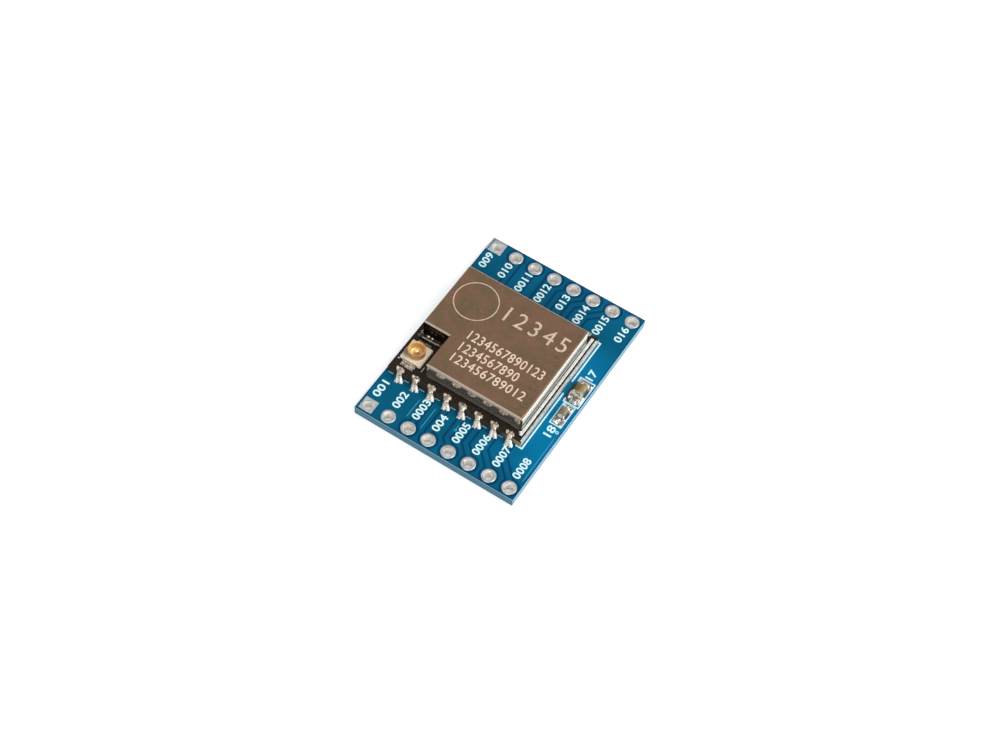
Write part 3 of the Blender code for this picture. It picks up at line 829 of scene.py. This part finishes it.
printLook = {
    "thickness": 0.012,
    "line": 0.14,
    "moduleLine": 0.18,
    "edgeLine": 0.12,
    "glint": 0.06,
    "capHeight": 0.95,
    "stroke": 0.045,
    "frontGap": 0.09,
    "backGap": 0.1,
    "cornerReach": (0.8, 0.85),
    # the outline's right side is left out between these, where painted shadow lies left of the first
    # capacitor
    "sideBreak": (0.45, 2.2),
    "dash": (-0.34, 0.32),
    "numberShift": 0.13,
    "numberFront": -11.38,
    "numberBack": 11.64,
    "numberLength": {3: 2.2, 4: 2.72},
    "moduleRight": 7.47,
}

pinDigits = {
    "front": ("001", "002", "0003", "004", "0005", "0006", "0007", "0008"),
    "back": ("009", "010", "0011", "0012", "013", "0014", "0015", "016"),
}

# x and y of each line's points, of the digits' corners, and of the rings with their inner and outer reach
capacitorFrames = (
    [(7.97, 0.3), (7.97, -0.36), (9.78, -0.36), (9.78, 3.22), (7.97, 3.22), (7.97, 2.6)],
    [(8.845, -3.48), (9.53, -3.48), (9.53, -0.52), (8.16, -0.52), (8.16, -3.48), (8.845, -3.48)],
)
capacitorDigits = (("17", (8.36, 3.46, 9.3, 4.78)), ("18", (8.29, -5.14, 9.26, -3.76)))
# thin light lines along the copper pour's edges, drawn as print: painted highlights
traceGlints = (
    [(-4.77, -9.1), (-4.77, -11.6)],
    [(-2.73, -9.1), (-2.73, -12.0)],
    [(9.66, -5.0), (9.66, -11.3)],
    [(0.45, -9.3), (0.45, -9.9)],
)
printRings = {"partMark": (0.1, 0.19, (9.5, -4.2)), "viaMark": (0.08, 0.16, (0.45, -10.05))}
printLow = carrierTop + copperRun["thickness"]
printHigh = printLow + printLook["thickness"]


def addDigits(name, digits, corners, turn, low, high, stroke=0.0, spacing=1.0):
    # text made a mesh, laid flat and fitted between two corners
    choose()
    bpy.ops.object.text_add(location=(0, 0, (low + high) / 2), rotation=(0, 0, turn))
    letters = bpy.context.object.data
    letters.body = digits
    letters.size = 2.0
    letters.extrude = (high - low) / 2
    letters.offset = stroke
    letters.space_character = spacing
    letters.resolution_u = 3
    bpy.ops.object.convert(target="MESH")
    piece = nameAdded(name)
    reach = [[vert.co[axis] for vert in piece.data.vertices] for axis in (0, 1)]
    x0, y0, x1, y1 = corners
    wide, deep = max(reach[0]) - min(reach[0]), max(reach[1]) - min(reach[1])
    middle = ((max(reach[0]) + min(reach[0])) / 2, (max(reach[1]) + min(reach[1])) / 2, 0)
    openMesh(piece, "VERT", everything=True)
    bpy.ops.transform.resize(value=((x1 - x0) / wide, (y1 - y0) / deep, 1), center_override=middle)
    bpy.ops.transform.translate(value=((x0 + x1) / 2 - middle[0], (y0 + y1) / 2 - middle[1], 0))
    bpy.ops.mesh.remove_doubles(threshold=0.0005)
    faceOutwards()
    closeMesh()
    return piece


def printLine(name, points, width=printLook["line"], material=ink):
    line = addRun(name, points, width, printLow, printHigh)
    finishPiece(line, material, smooth=0)


def printDigits(name, digits, corners):
    piece = addDigits(name, digits, corners, math.pi / 2, printLow, printHigh, printLook["stroke"])
    finishPiece(piece, ink, smooth=0)


def printRing(name, material):
    inner, outer, centre = printRings[name]
    ring = flatRing(name, inner, outer, printLow, printHigh, centre)
    finishPiece(ring, material, smooth=0)


def makePrint():
    look = printLook
    cap = look["capHeight"]
    for number, (row, side, pin) in enumerate(allPins, 1):
        digits = pinDigits[row][pin]
        x = padPlaces[row, pin].x - look["numberShift"]
        length = look["numberLength"][len(digits)]
        y = look["numberFront"] if side < 0 else look["numberBack"] - length
        printDigits(f"pinNumber_{number}", digits, (x - cap / 2, y, x + cap / 2, y + length))
    # the module's outline: two corners at its right, and a dash between each pair of half holes
    right, width = look["moduleRight"], look["moduleLine"]
    front, back = moduleLow.y - look["frontGap"], moduleHigh.y + look["backGap"]
    (frontReach, backReach), (breakStart, breakEnd) = look["cornerReach"], look["sideBreak"]
    printLine("modulePrint", [(right - frontReach, front), (right, front), (right, breakStart)], width)
    printLine("modulePrintBack", [(right, breakEnd), (right, back), (right - backReach, back)], width)
    for row, side, pin in allPins:
        y = front if side < 0 else back
        x = contactX(pin) - contactStart["pitch"] / 2
        dash = [(max(x + look["dash"][0], moduleLow.x), y), (x + look["dash"][1], y)]
        printLine(f"modulePrint_{row}_{pin + 1}", dash, look["edgeLine"], edgeInk)
    for number, points in enumerate(capacitorFrames, 1):
        printLine(f"capacitorPrint_{number}", points)
    for number, (digits, corners) in enumerate(capacitorDigits, 1):
        printDigits(f"partNumber_{number}", digits, corners)
    printRing("partMark", ink)
    for number, points in enumerate(traceGlints, 1):
        printLine(f"traceGlint_{number}", points, look["glint"], glintInk)
    printRing("viaMark", glintInk)


makePrint()
print("Print made")


# Header pads.

padShape = {"bore": 0.5, "outer": 0.82, "land": 0.05, "crown": 0.04, "sides": 48}


def padProfile():
    bore, outer, land = padShape["bore"], padShape["outer"], padShape["land"]
    top, crown = carrierTop, carrierTop + padShape["crown"]
    return [
        (bore, 0.03), (bore + 0.03, 0.0), (outer, 0.0), (outer, land), (bore + 0.05, land),
        (bore + 0.05, top - land), (outer, top - land), (outer, top), (outer - 0.02, top + 0.018),
        (outer - 0.05, crown - 0.006), (outer - 0.09, crown), (outer - 0.14, crown),
        (bore + 0.14, crown - 0.006), (bore + 0.09, top + 0.022), (bore + 0.03, top + 0.008),
        (bore, top - 0.03),
    ]


def makeHeaderPads():
    outer, bore, land = padShape["outer"], padShape["bore"], padShape["land"]
    crown = carrierTop + padShape["crown"]
    master = turned("headerPadMaster", padProfile(), (0, 0), padShape["sides"])
    wear(master, padTin, padRimHighlight, padBarrelLight)
    # painted highlight on the rim and painted light in the barrel
    markFaces(master, 1, lambda middle, normal: bore < middle.xy.length < bore + 0.1 and normal.z > 0.2)
    markFaces(master, 2, lambda middle, normal: middle.xy.length < bore + 0.01 and abs(normal.z) < 0.7)
    for row, side, pin in allPins:
        place = padPlaces[row, pin]
        piece = duplicate(master, f"headerPad_{row}_{pin + 1}")
        if pin == 0:
            for z0, z1 in ((carrierTop - land, crown - 0.004), (0.0, land)):
                square = addBox("square", (-outer, -outer, z0), (outer, outer, z1))
                cutAway(square, addRod(bore + 0.12, z0 - 0.1, z1 + 0.1, (0, 0)))
                bevelEdges(square, 0.03, 3, lambda edge: all(v.co.z > crown - 0.01 and v.co.xy.length > outer
                                                             for v in edge.verts))
                wear(square, padTin)
                joinInto(piece, [square])
        shift(piece, (place.x, place.y, 0), random.uniform(0, 6) if pin else 0.0)
        finishPiece(piece, None, [f"header_pad_{row}_{pin + 1}"])
    bpy.data.objects.remove(master, do_unlink=True)


makeHeaderPads()
print("Header pads made")


# Solder joints at the half holes.

jointShape = {"voxel": 0.03, "smooth": 2, "lift": 0.02, "backReach": 0.7, "waver": 0.03}


def makeSolderJoints():
    # modelled once at the origin: the module's edge is y = 0 and the module is towards +Y
    top = moduleHigh.z
    foot = carrierTop + jointShape["lift"]
    head = [
        addBall((1.04, 0.62, 0.34), (-0.08, 0.34, top + 0.03)),
        addBall((0.42, 0.42, 0.36), (-0.42, 0.4, top + 0.1)),
        addBall((0.38, 0.36, 0.36), (-0.06, 0.18, top + 0.11)),
        addBall((0.36, 0.38, 0.3), (0.26, 0.4, top + 0.07)),
        addBall((0.2, 0.24, 0.22), (0.42, 0.26, top + 0.02)),
        addBall((0.36, 0.34, 0.3), (0.0, 0.52, top + 0.08)),
        addLimb((0.0, 0.3, top - 0.04), (0.16, -0.14, top - 0.24), 0.36, 0.3),
        addLimb((0.0, 0.1, top), (0.0, 0.12, foot), 0.28, 0.28),
    ]
    leftToe = [
        addLimb((0.04, -0.06, top - 0.05), (0.14, -0.54, foot + 0.12), 0.23, 0.26),
        addBall((0.56, 0.5, 0.4), (0.13, -0.56, foot + 0.05)),
        addBall((0.2, 0.3, 0.16), (-0.02, -0.72, foot + 0.02)),
        addBall((0.18, 0.26, 0.16), (0.24, -0.76, foot + 0.02)),
    ]
    rightToe = [
        addLimb((0.22, 0.0, top - 0.06), (0.57, -0.42, foot + 0.12), 0.07, 0.18),
        addBall((0.4, 0.44, 0.36), (0.6, -0.43, foot + 0.05)),
        addBall((0.18, 0.26, 0.16), (0.57, -0.6, foot + 0.02)),
        addBall((0.18, 0.22, 0.16), (0.75, -0.55, foot + 0.02)),
    ]
    lumps = head + leftToe + rightToe
    master = melt("solderJointMaster", lumps, jointShape["voxel"], jointShape["smooth"], foot)
    wear(master, solderTin, legTinLight, toeHighlight)
    # painted light: lighter legs, and a white painted highlight on the right toe
    markFaces(master, 1, lambda middle, normal: middle.y < -0.16 and middle.z < top - 0.16)
    markFaces(master, 2, lambda middle, normal: (middle.x > 0.22 - 0.44 * middle.y and middle.y < -0.02
                                                 and middle.z < top - 0.34))
    for row, side, pin in allPins:
        piece = duplicate(master, f"solderJoint_{row}_{pin + 1}")
        if side > 0:
            # the back row's toes are shorter, so that the lid hides them
            openMesh(piece, "VERT", everything=True)
            bpy.ops.transform.resize(value=(1, -jointShape["backReach"], 1), center_override=(0, 0, 0))
            faceOutwards()
            closeMesh()
        waver = random.uniform(-jointShape["waver"], jointShape["waver"])
        shift(piece, (contactX(pin) + waver, moduleEdge(side), 0))
        finishPiece(piece, None, [f"solder_joint_{row}_{pin + 1}"], smooth=80)
    bpy.data.objects.remove(master, do_unlink=True)


makeSolderJoints()
print("Solder joints made")


# Shield can.

lidMarks = {
    "proud": 0.01,
    "ringCentre": (-5.7, 3.17),
    "ring": (2.44, 2.56),
    # digits, corners, stroke, spacing and finish of each line
    "lines": (
        ("12345", (-2.14, 2.71, 5.64, 4.75), 0.0, 1.3, dimMark),
        ("1234567890123", (-3.96, -1.5, 5.5, -0.25), 0.012, 1.08, markTint),
        ("1234567890", (-3.96, -3.24, 3.36, -2.0), 0.012, 1.08, markTint),
        ("123456789012", (-3.96, -4.86, 5.19, -3.66), 0.012, 1.08, markTint),
    ),
}


def makeShieldCan():
    low, high = boxOf("shield_can")
    notchRight, notchBack = canShape["notch"]
    sheet, slit, foot = canShape["sheet"], canShape["slit"], canShape["footWidth"]
    can = addBox("shieldCan", low, high)
    cutAway(can, addBox("notch", (low.x - 1, low.y - 1, low.z - 1), (notchRight, notchBack, high.z + 1)))
    bevelEdges(can, canShape["bend"], canShape["steps"],
               lambda edge: all(abs(v.co.z - high.z) < 1e-4 for v in edge.verts))
    openMesh(can, "FACE")
    pick("faces", lambda face: face.normal.z < -0.9)
    bpy.ops.mesh.delete(type="FACE")
    closeMesh()
    applyModifier(can, "SOLIDIFY", thickness=sheet, offset=-1, use_even_offset=True)
    corners = [(low.x, high.y, 1, -1), (low.x, notchBack, 1, 1), (notchRight, notchBack, 1, 1),
               (notchRight, low.y, 1, 1), (high.x, low.y, -1, 1), (high.x, high.y, -1, -1)]
    middles = []
    for x, y, inX, inY in corners:
        x, y = x + inX * sheet / 2, y + inY * sheet / 2
        middles.append((x, y))
        slitTop = high.z - canShape["bend"]
        cutAway(can, addBox("slit", (x - slit, y - slit, low.z - 1), (x + slit, y + slit, slitTop)))
    for (x0, y0), (x1, y1) in zip(middles, middles[1:] + middles[:1]):
        shrinkX, shrinkY = (foot, -sheet) if abs(x1 - x0) > abs(y1 - y0) else (-sheet, foot)
        cutAway(can, addBox("gap", (min(x0, x1) + shrinkX, min(y0, y1) + shrinkY, low.z - 1),
                            (max(x0, x1) - shrinkX, max(y0, y1) - shrinkY, low.z + canShape["footGap"])))
    finishPiece(can, shieldMetal, ["shield_can"], smooth=30)
    applyModifier(can, "WEIGHTED_NORMAL", keep_sharp=True)


def makeLidMarks():
    low = boxOf("shield_can")[1].z
    high = low + lidMarks["proud"]
    ring = flatRing("lidRing", *lidMarks["ring"], low, high, lidMarks["ringCentre"], 96)
    finishPiece(ring, dimMark, smooth=0)
    for number, (digits, corners, stroke, spacing, finish) in enumerate(lidMarks["lines"], 1):
        piece = addDigits(f"lidNumber_{number}", digits, corners, 0.0, low, high, stroke, spacing)
        finishPiece(piece, finish, smooth=0)


makeShieldCan()
makeLidMarks()
print("Shield can made")


# Antenna socket.

socketShape = {
    "hole": 0.805, "rim": 1.0, "inner": 0.8, "bevel": 0.07, "bevelFrom": 1.2,
    "legHalf": (0.85, 0.2), "legPlace": 1.1, "legReach": 0.35, "contactHalf": 0.26,
    "solderHalf": 0.82, "solderPlace": 1.3, "solderReach": {-1: 0.78, 1: 0.5}, "voxel": 0.045,
}


def makeSocketBase():
    low, high = boxOf("socket_base")
    centre = (low + high) / 2
    base = addBox("socketBase", low, high)
    cutAway(base, addRod(socketShape["hole"], low.z + 0.12, high.z + 1, centre, 64))
    bevelEdges(base, socketShape["bevel"], 3,
               lambda edge: all((v.co - centre).xy.length > socketShape["bevelFrom"] for v in edge.verts) and
               (abs(edge.verts[0].co.z - edge.verts[1].co.z) > 0.1
                or all(v.co.z > high.z - 0.01 for v in edge.verts)))
    finishPiece(base, socketCream, ["socket_base"])
    return centre.x, centre.y, low.z


def makeSocketShell(x, y, low):
    foot, top = low + 0.2, boxOf("socket_shell")[1].z
    rim, inner = socketShape["rim"], socketShape["inner"]
    wall = [
        (0.3, foot), (rim, foot), (rim, foot + 0.32), (rim - 0.025, foot + 0.4), (rim - 0.07, foot + 0.48),
        (rim - 0.07, foot + 0.68), (rim - 0.03, foot + 0.78), (rim, foot + 0.86), (rim, top - 0.07),
        (rim - 0.02, top - 0.02), (rim - 0.07, top), (inner + 0.07, top - 0.01), (inner + 0.02, top - 0.07),
        (inner, top - 0.16), (inner - 0.02, foot + 0.34), (inner - 0.1, foot + 0.2), (0.5, foot + 0.12),
        (0.3, foot + 0.1),
    ]
    shell = turned("socketShell", wall, (x, y), 64)
    halfX, halfY = socketShape["legHalf"]
    for side in (-1, 1):
        legY = y + side * socketShape["legPlace"]
        leg = addBox("leg", (x - halfX, legY - halfY, low + 0.01), (x + halfX, legY + halfY, low + 0.26))
        openMesh(leg, "FACE")
        pick("faces", lambda face: face.normal.y * side > 0.9)
        pullOut(0, side * socketShape["legReach"], 0)
        bpy.ops.transform.resize(value=(0.94, 1, 0.6), center_override=(x, 0, low + 0.01))
        closeMesh()
        joinInto(shell, [leg])
    finishPiece(shell, socketGold, ["socket_shell"])


def makeSocketContact(x, y, low):
    top = boxOf("socket_contact")[1].z
    shape = [(0.02, low + 0.1), (0.25, low + 0.1), (0.25, top - 0.14), (0.22, top - 0.06),
             (0.14, top - 0.01), (0.02, top)]
    pin = turned("socketContact", shape, (x, y), 32)
    half = socketShape["contactHalf"]
    leg = addBox("leg", (x - 1.45, y - half, low), (x - 0.1, y + half, low + 0.1))
    bevelEdges(leg, 0.03, 2)
    wear(pin, socketGold)
    wear(leg, heapTin)
    joinInto(pin, [leg])
    finishPiece(pin, None, ["socket_contact"])


def makeSocketSolder(x, y):
    # solder over the ground legs, ridged where it froze
    floor, half = moduleHigh.z + 0.005, socketShape["solderHalf"]
    for name, side in (("socketSolderFront", -1), ("socketSolderBack", 1)):
        start, reach = y + side * socketShape["solderPlace"], socketShape["solderReach"][side]
        end = start + side * reach
        y0, y1 = min(start, end), max(start, end)
        lumps = [addBox("lump", (x - half, y0, floor - 0.1), (x + half, y1, floor + 0.16))]
        for step in range(7):
            ridgeX = x - 0.72 + 0.24 * step
            ridgeEnd = (ridgeX, start + side * reach * 0.9, floor + 0.1)
            lumps.append(addLimb((ridgeX, start, floor + 0.2), ridgeEnd, 0.11, 0.09, 10))
        for step in range(4):
            place = (x - 0.66 + 0.44 * step, start + side * (reach - 0.06), floor + 0.06)
            lumps.append(addBall((0.26, 0.2, 0.2), place, 12))
        solder = melt(name, lumps, socketShape["voxel"], 2, floor)
        finishPiece(solder, heapTin, smooth=80)


socketX, socketY, socketLow = makeSocketBase()
makeSocketShell(socketX, socketY, socketLow)
makeSocketContact(socketX, socketY, socketLow)
makeSocketSolder(socketX, socketY)
print("Antenna socket made")


# Chip parts and their solder.

chipShape = {"inset": (0.015, 0.015, 0.01), "bodyBevel": 0.04, "endBevel": 0.06}


def makeChip(name, node, body, axis, bands, ends=chipTin):
    # a body with an end cap at each end of its axis; the bands are the caps' widths
    low, high = boxOf(node)
    inset = Vector(chipShape["inset"])
    core = addBox(name, low + inset, high - inset)
    bevelEdges(core, chipShape["bodyBevel"], 2)
    wear(core, body)
    for end in (0, 1):
        a, b = Vector(low), Vector(high)
        if end:
            a[axis] = high[axis] - bands[1]
        else:
            b[axis] = low[axis] + bands[0]
        cap = addBox("cap", a, b)
        bevelEdges(cap, chipShape["endBevel"], 3)
        wear(cap, ends)
        joinInto(core, [cap])
    finishPiece(core, None, [node])


moundShape = {"voxel": 0.045, "smooth": 2, "spread": 0.1, "reach": 0.22, "foot": 0.024}


def makeMound(name, node, outward):
    # solder heaped against a capacitor's end, over a tinned land, with lumps and a spread foot
    low, high = boxOf(node)
    middle = (low + high) / 2
    wide = (high.x - low.x) / 2 + moundShape["spread"]
    inner = low.y if outward > 0 else high.y
    outer = (high.y if outward > 0 else low.y) + outward * moundShape["reach"]
    foot = carrierTop + moundShape["foot"]
    tall = high.z - foot

    def block(half, y0, y1, z1):
        low, high = (middle.x - half, min(y0, y1), foot - 0.1), (middle.x + half, max(y0, y1), z1)
        return addBox("lump", low, high)

    lumps = [block(wide, inner - outward * 0.3, outer, foot + 0.07)]
    for step in range(5):
        x = middle.x + (step - 2) * wide * 0.36
        rise = tall * random.uniform(0.72, 1.0)
        end = (x * 0.9 + middle.x * 0.1, outer - outward * 0.14, foot + 0.06)
        lumps.append(addLimb((x, inner, foot + rise), end, 0.18, 0.13, 10))
    for step in range(4):
        x = middle.x + random.uniform(-0.8, 0.8) * wide
        y = inner + (outer - inner) * random.uniform(0.4, 0.95)
        lumps.append(addBall((0.28, 0.24, 0.22), (x, y, foot + 0.08), 12))
    lumps.append(block(wide * 0.86, inner, inner + outward * 0.1, foot + tall * 0.8))
    piece = melt(name, lumps, moundShape["voxel"], moundShape["smooth"], foot)
    finishPiece(piece, moundTin, [node], smooth=80)


for name, node in (("matchingCapacitor", "matching_capacitor"), ("matchingCoil", "matching_coil")):
    makeChip(name, node, chipDark, 0, (0.24, 0.24), smallTerminal)
makeChip("boardCapacitor_1", "capacitor_1", chipOchre, 1, (0.58, 0.38))
makeChip("boardCapacitor_2", "capacitor_2", chipPale, 1, (0.38, 0.38))
for number in (1, 2):
    for ending, outward in (("front", -1), ("back", 1)):
        makeMound(f"capacitorSolder_{number}_{ending}", f"capacitor_{number}_solder_{ending}", outward)
print("Chip parts made")


# Tinned strips beside the can, the module's small print, beads, painted shadow patches and a painted corner
# highlight.

# name, left, right, inset at the front, finish
moduleStrips = (
    ("canLand", 6.52, 6.85, 0.75, landTin),
    ("moduleGroundStrip", 7.04, 7.25, 0.15, stripTin),
)
# name, points, width, finish
notchPrint = (
    ("notchPrint_2", [(-8.6, -2.25), (-6.7, -2.25)], 0.1, dimInk),
    ("notchPrint_3", [(-6.35, -6.55), (-6.35, -5.85)], 0.1, moduleInk),
    ("notchPrint_4", [(-6.78, -2.72), (-6.2, -2.42), (-6.5, -2.28)], 0.09, moduleInk),
    ("notchPrint_5", [(-9.34, -2.66), (-9.2, -2.52), (-9.2, -2.34)], 0.09, moduleInk),
)
# name, left, right, front, back, thickness, finish
boardPatches = (
    # painted shadow beside the capacitors: 1 and 2 at their right side, 3 and 4 at the left of the first
    ("shadowPatch_1", 9.49, 9.72, 0.75, 2.15, 0.03, shadowPatchFinish),
    ("shadowPatch_2", 9.26, 9.44, -2.47, -1.47, 0.03, shadowPatchFinish),
    ("shadowPatch_3", 7.7, 8.2, 0.1, 2.3, 0.026, shadowEdgeFinish),
    ("shadowPatch_4", 7.74, 8.1, 0.5, 2.05, 0.038, shadowDarkFinish),
    # a painted highlight along the board's back-left corner
    ("cornerHighlight_1", -9.97, -9.8, 11.9, 13.55, 0.03, cornerHighlightFinish),
    ("cornerHighlight_2", -9.97, -8.1, 13.56, 13.72, 0.03, cornerHighlightFinish),
)


def makeModuleStrips():
    low = moduleHigh.z
    for name, left, right, inset, finish in moduleStrips:
        strip = addBox(name, (left, moduleLow.y + inset, low), (right, moduleHigh.y - 0.35, low + 0.02))
        bevelEdges(strip, 0.008, 2)
        finishPiece(strip, finish)
    high = low + printLook["thickness"]
    for name, points, width, finish in notchPrint:
        finishPiece(addRun(name, points, width, low, high), finish, smooth=0)
    curl = flatRing("notchMark", 0.12, 0.21, low, high, (-9.09, -2.08))
    finishPiece(curl, moduleInk, smooth=0)
    chipTop = boxOf("matching_capacitor")[1].z
    # a thin beige strip along the matching chips' front top edges: a painted highlight
    path = [(-8.62, -2.92), (-6.85, -2.86), (-6.56, -2.7)]
    link = addRun("notchChipEdgeHighlight", path, 0.14, chipTop - 0.02, chipTop + 0.05)
    finishPiece(link, chipEdgeHighlight, smooth=0)


def makeBead(name, lumps, voxel, rounds, floor):
    finishPiece(melt(name, lumps, voxel, rounds, floor), landTin, smooth=80)


def makeBeads():
    low, chipTop = moduleHigh.z, boxOf("matching_capacitor")[1].z
    makeBead("notchBead", [
        addBall((0.34, 0.28, 0.3), (-8.07, -2.5, chipTop + 0.02), 16),
        addBall((0.28, 0.24, 0.24), (-7.58, -2.5, chipTop + 0.02), 16),
        addBall((0.3, 0.24, 0.14), (-8.68, -2.7, low + 0.02), 16),
        addBall((0.2, 0.2, 0.12), (-9.36, -6.37, low + 0.02), 16),
        addBall((0.2, 0.24, 0.2), (-7.2, -6.62, low + 0.06), 16),
    ], 0.03, 1, low)
    for name, left, right, front, back, thickness, finish in boardPatches:
        patch = addBox(name, (left, front, printLow), (right, back, printLow + thickness))
        bevelEdges(patch, 0.012, 2)
        finishPiece(patch, finish)
    foot = printLow + 0.01
    makeBead("capacitorBead", [
        addLimb((9.6, 0.95, foot + 0.06), (9.62, 0.15, foot + 0.04), 0.09, 0.13, 12),
        addBall((0.26, 0.3, 0.24), (9.6, 1.0, foot + 0.08), 16),
        addBall((0.22, 0.24, 0.22), (9.36, -2.46, foot + 0.06), 16),
        addLimb((8.26, 0.5, foot + 0.3), (8.22, 0.98, foot + 0.5), 0.13, 0.12, 12),
        addBall((0.34, 0.66, 0.6), (8.18, 0.74, foot + 0.18), 16),
    ], 0.035, 1, foot)
    makeBead("canTack", [
        addBall((0.26, 0.26, 0.3), (6.53, -6.78, low + 0.05), 16),
        addBall((0.2, 0.2, 0.2), (6.42, -6.84, low + 0.02), 16),
    ], 0.035, 2, low)


makeModuleStrips()
makeBeads()
print("Module strips and beads made")


# Floor, light and camera.

floorLook = {"colour": (0.74, 0.74, 0.75, 1), "glow": 0.5, "underShadeGlow": 0.3, "margin": 0.2, "drop": 0.04}


def makeStage():
    choose()
    bpy.ops.mesh.primitive_plane_add(size=2.0, location=(0, 0, -floorLook["drop"] * mm))
    floor = bpy.context.object
    floor.name = "paleTable"
    material = bpy.data.materials.new("paleTable")
    material.use_nodes = True
    tree = Tree(material.node_tree)
    tree.nodes.clear()
    # painted shade: the table glows less right under the board, where the header holes show it
    margin, glow, underShadeGlow = floorLook["margin"], floorLook["glow"], floorLook["underShadeGlow"]
    shares = [tree.math("DIVIDE", tree.size(tree.axis(axis)), half - margin)
              for axis, half in (("X", carrierHigh.x), ("Y", carrierHigh.y))]
    clear = tree.math("GREATER_THAN", tree.math("MAXIMUM", *shares), 1.0)
    level = tree.math("MULTIPLY_ADD", clear, glow - underShadeGlow, underShadeGlow)
    matte = tree.add("ShaderNodeBsdfDiffuse", {"Color": floorLook["colour"]})
    light = tree.add("ShaderNodeEmission", {"Strength": tree.times(tree.seenRays(), level)})
    total = tree.add("ShaderNodeAddShader", {0: matte.outputs[0], 1: light.outputs[0]})
    tree.add("ShaderNodeOutputMaterial", {"Surface": total.outputs[0]})
    floor.data.materials.append(material)


stageLight = {
    "room": 0.46,
    "roomTint": (1, 0.99, 0.97, 1),
    "key": {"watts": 1.5, "size": 0.36, "place": (0.34, 0.1, 0.42)},
    "fill": {"watts": 1.0, "size": 0.3, "place": (0.12, -0.42, 0.34)},
    "side": {"watts": 0.8, "size": 0.24, "place": (0.5, 0.04, 0.1)},
}


def makeLights():
    world = bpy.data.worlds.new("softRoom")
    bpy.context.scene.world = world
    world.use_nodes = True
    tree = Tree(world.node_tree)
    room = tree.nodes["Background"]
    room.inputs["Color"].default_value = stageLight["roomTint"]
    room.inputs["Strength"].default_value = stageLight["room"]
    white = tree.add("ShaderNodeBackground", {"Color": (1, 1, 1, 1)})
    choice = tree.add("ShaderNodeMixShader", {0: tree.seenRays(), 1: room.outputs[0], 2: white.outputs[0]})
    tree.put(tree.nodes["World Output"].inputs["Surface"], choice.outputs[0])
    for name in ("key", "fill", "side"):
        look = stageLight[name]
        lamp = bpy.data.lights.new(name, "AREA")
        lamp.shape = "SQUARE"
        lamp.size = look["size"]
        lamp.energy = look["watts"]
        holder = bpy.data.objects.new(name, lamp)
        bpy.context.scene.collection.objects.link(holder)
        holder.location = look["place"]
        holder.rotation_euler = (-Vector(look["place"])).to_track_quat("-Z", "Y").to_euler()


cameraLook = {
    "lens": 65.33,
    "place": (49.676, -95.766, 166.358),
    "turn": (32.610, -3.312, 32.673),
}


def makeCamera():
    lens = bpy.data.cameras.new("photoView")
    lens.lens = cameraLook["lens"]
    lens.sensor_width = 36
    lens.clip_start = 0.005
    lens.clip_end = 10
    holder = bpy.data.objects.new("photoView", lens)
    bpy.context.scene.collection.objects.link(holder)
    holder.location = Vector(cameraLook["place"]) * mm
    holder.rotation_euler = [math.radians(angle) for angle in cameraLook["turn"]]
    bpy.context.scene.camera = holder


makeStage()
makeLights()
makeCamera()
bpy.context.scene.view_settings.view_transform = "Standard"
print("Stage, lights and camera made")
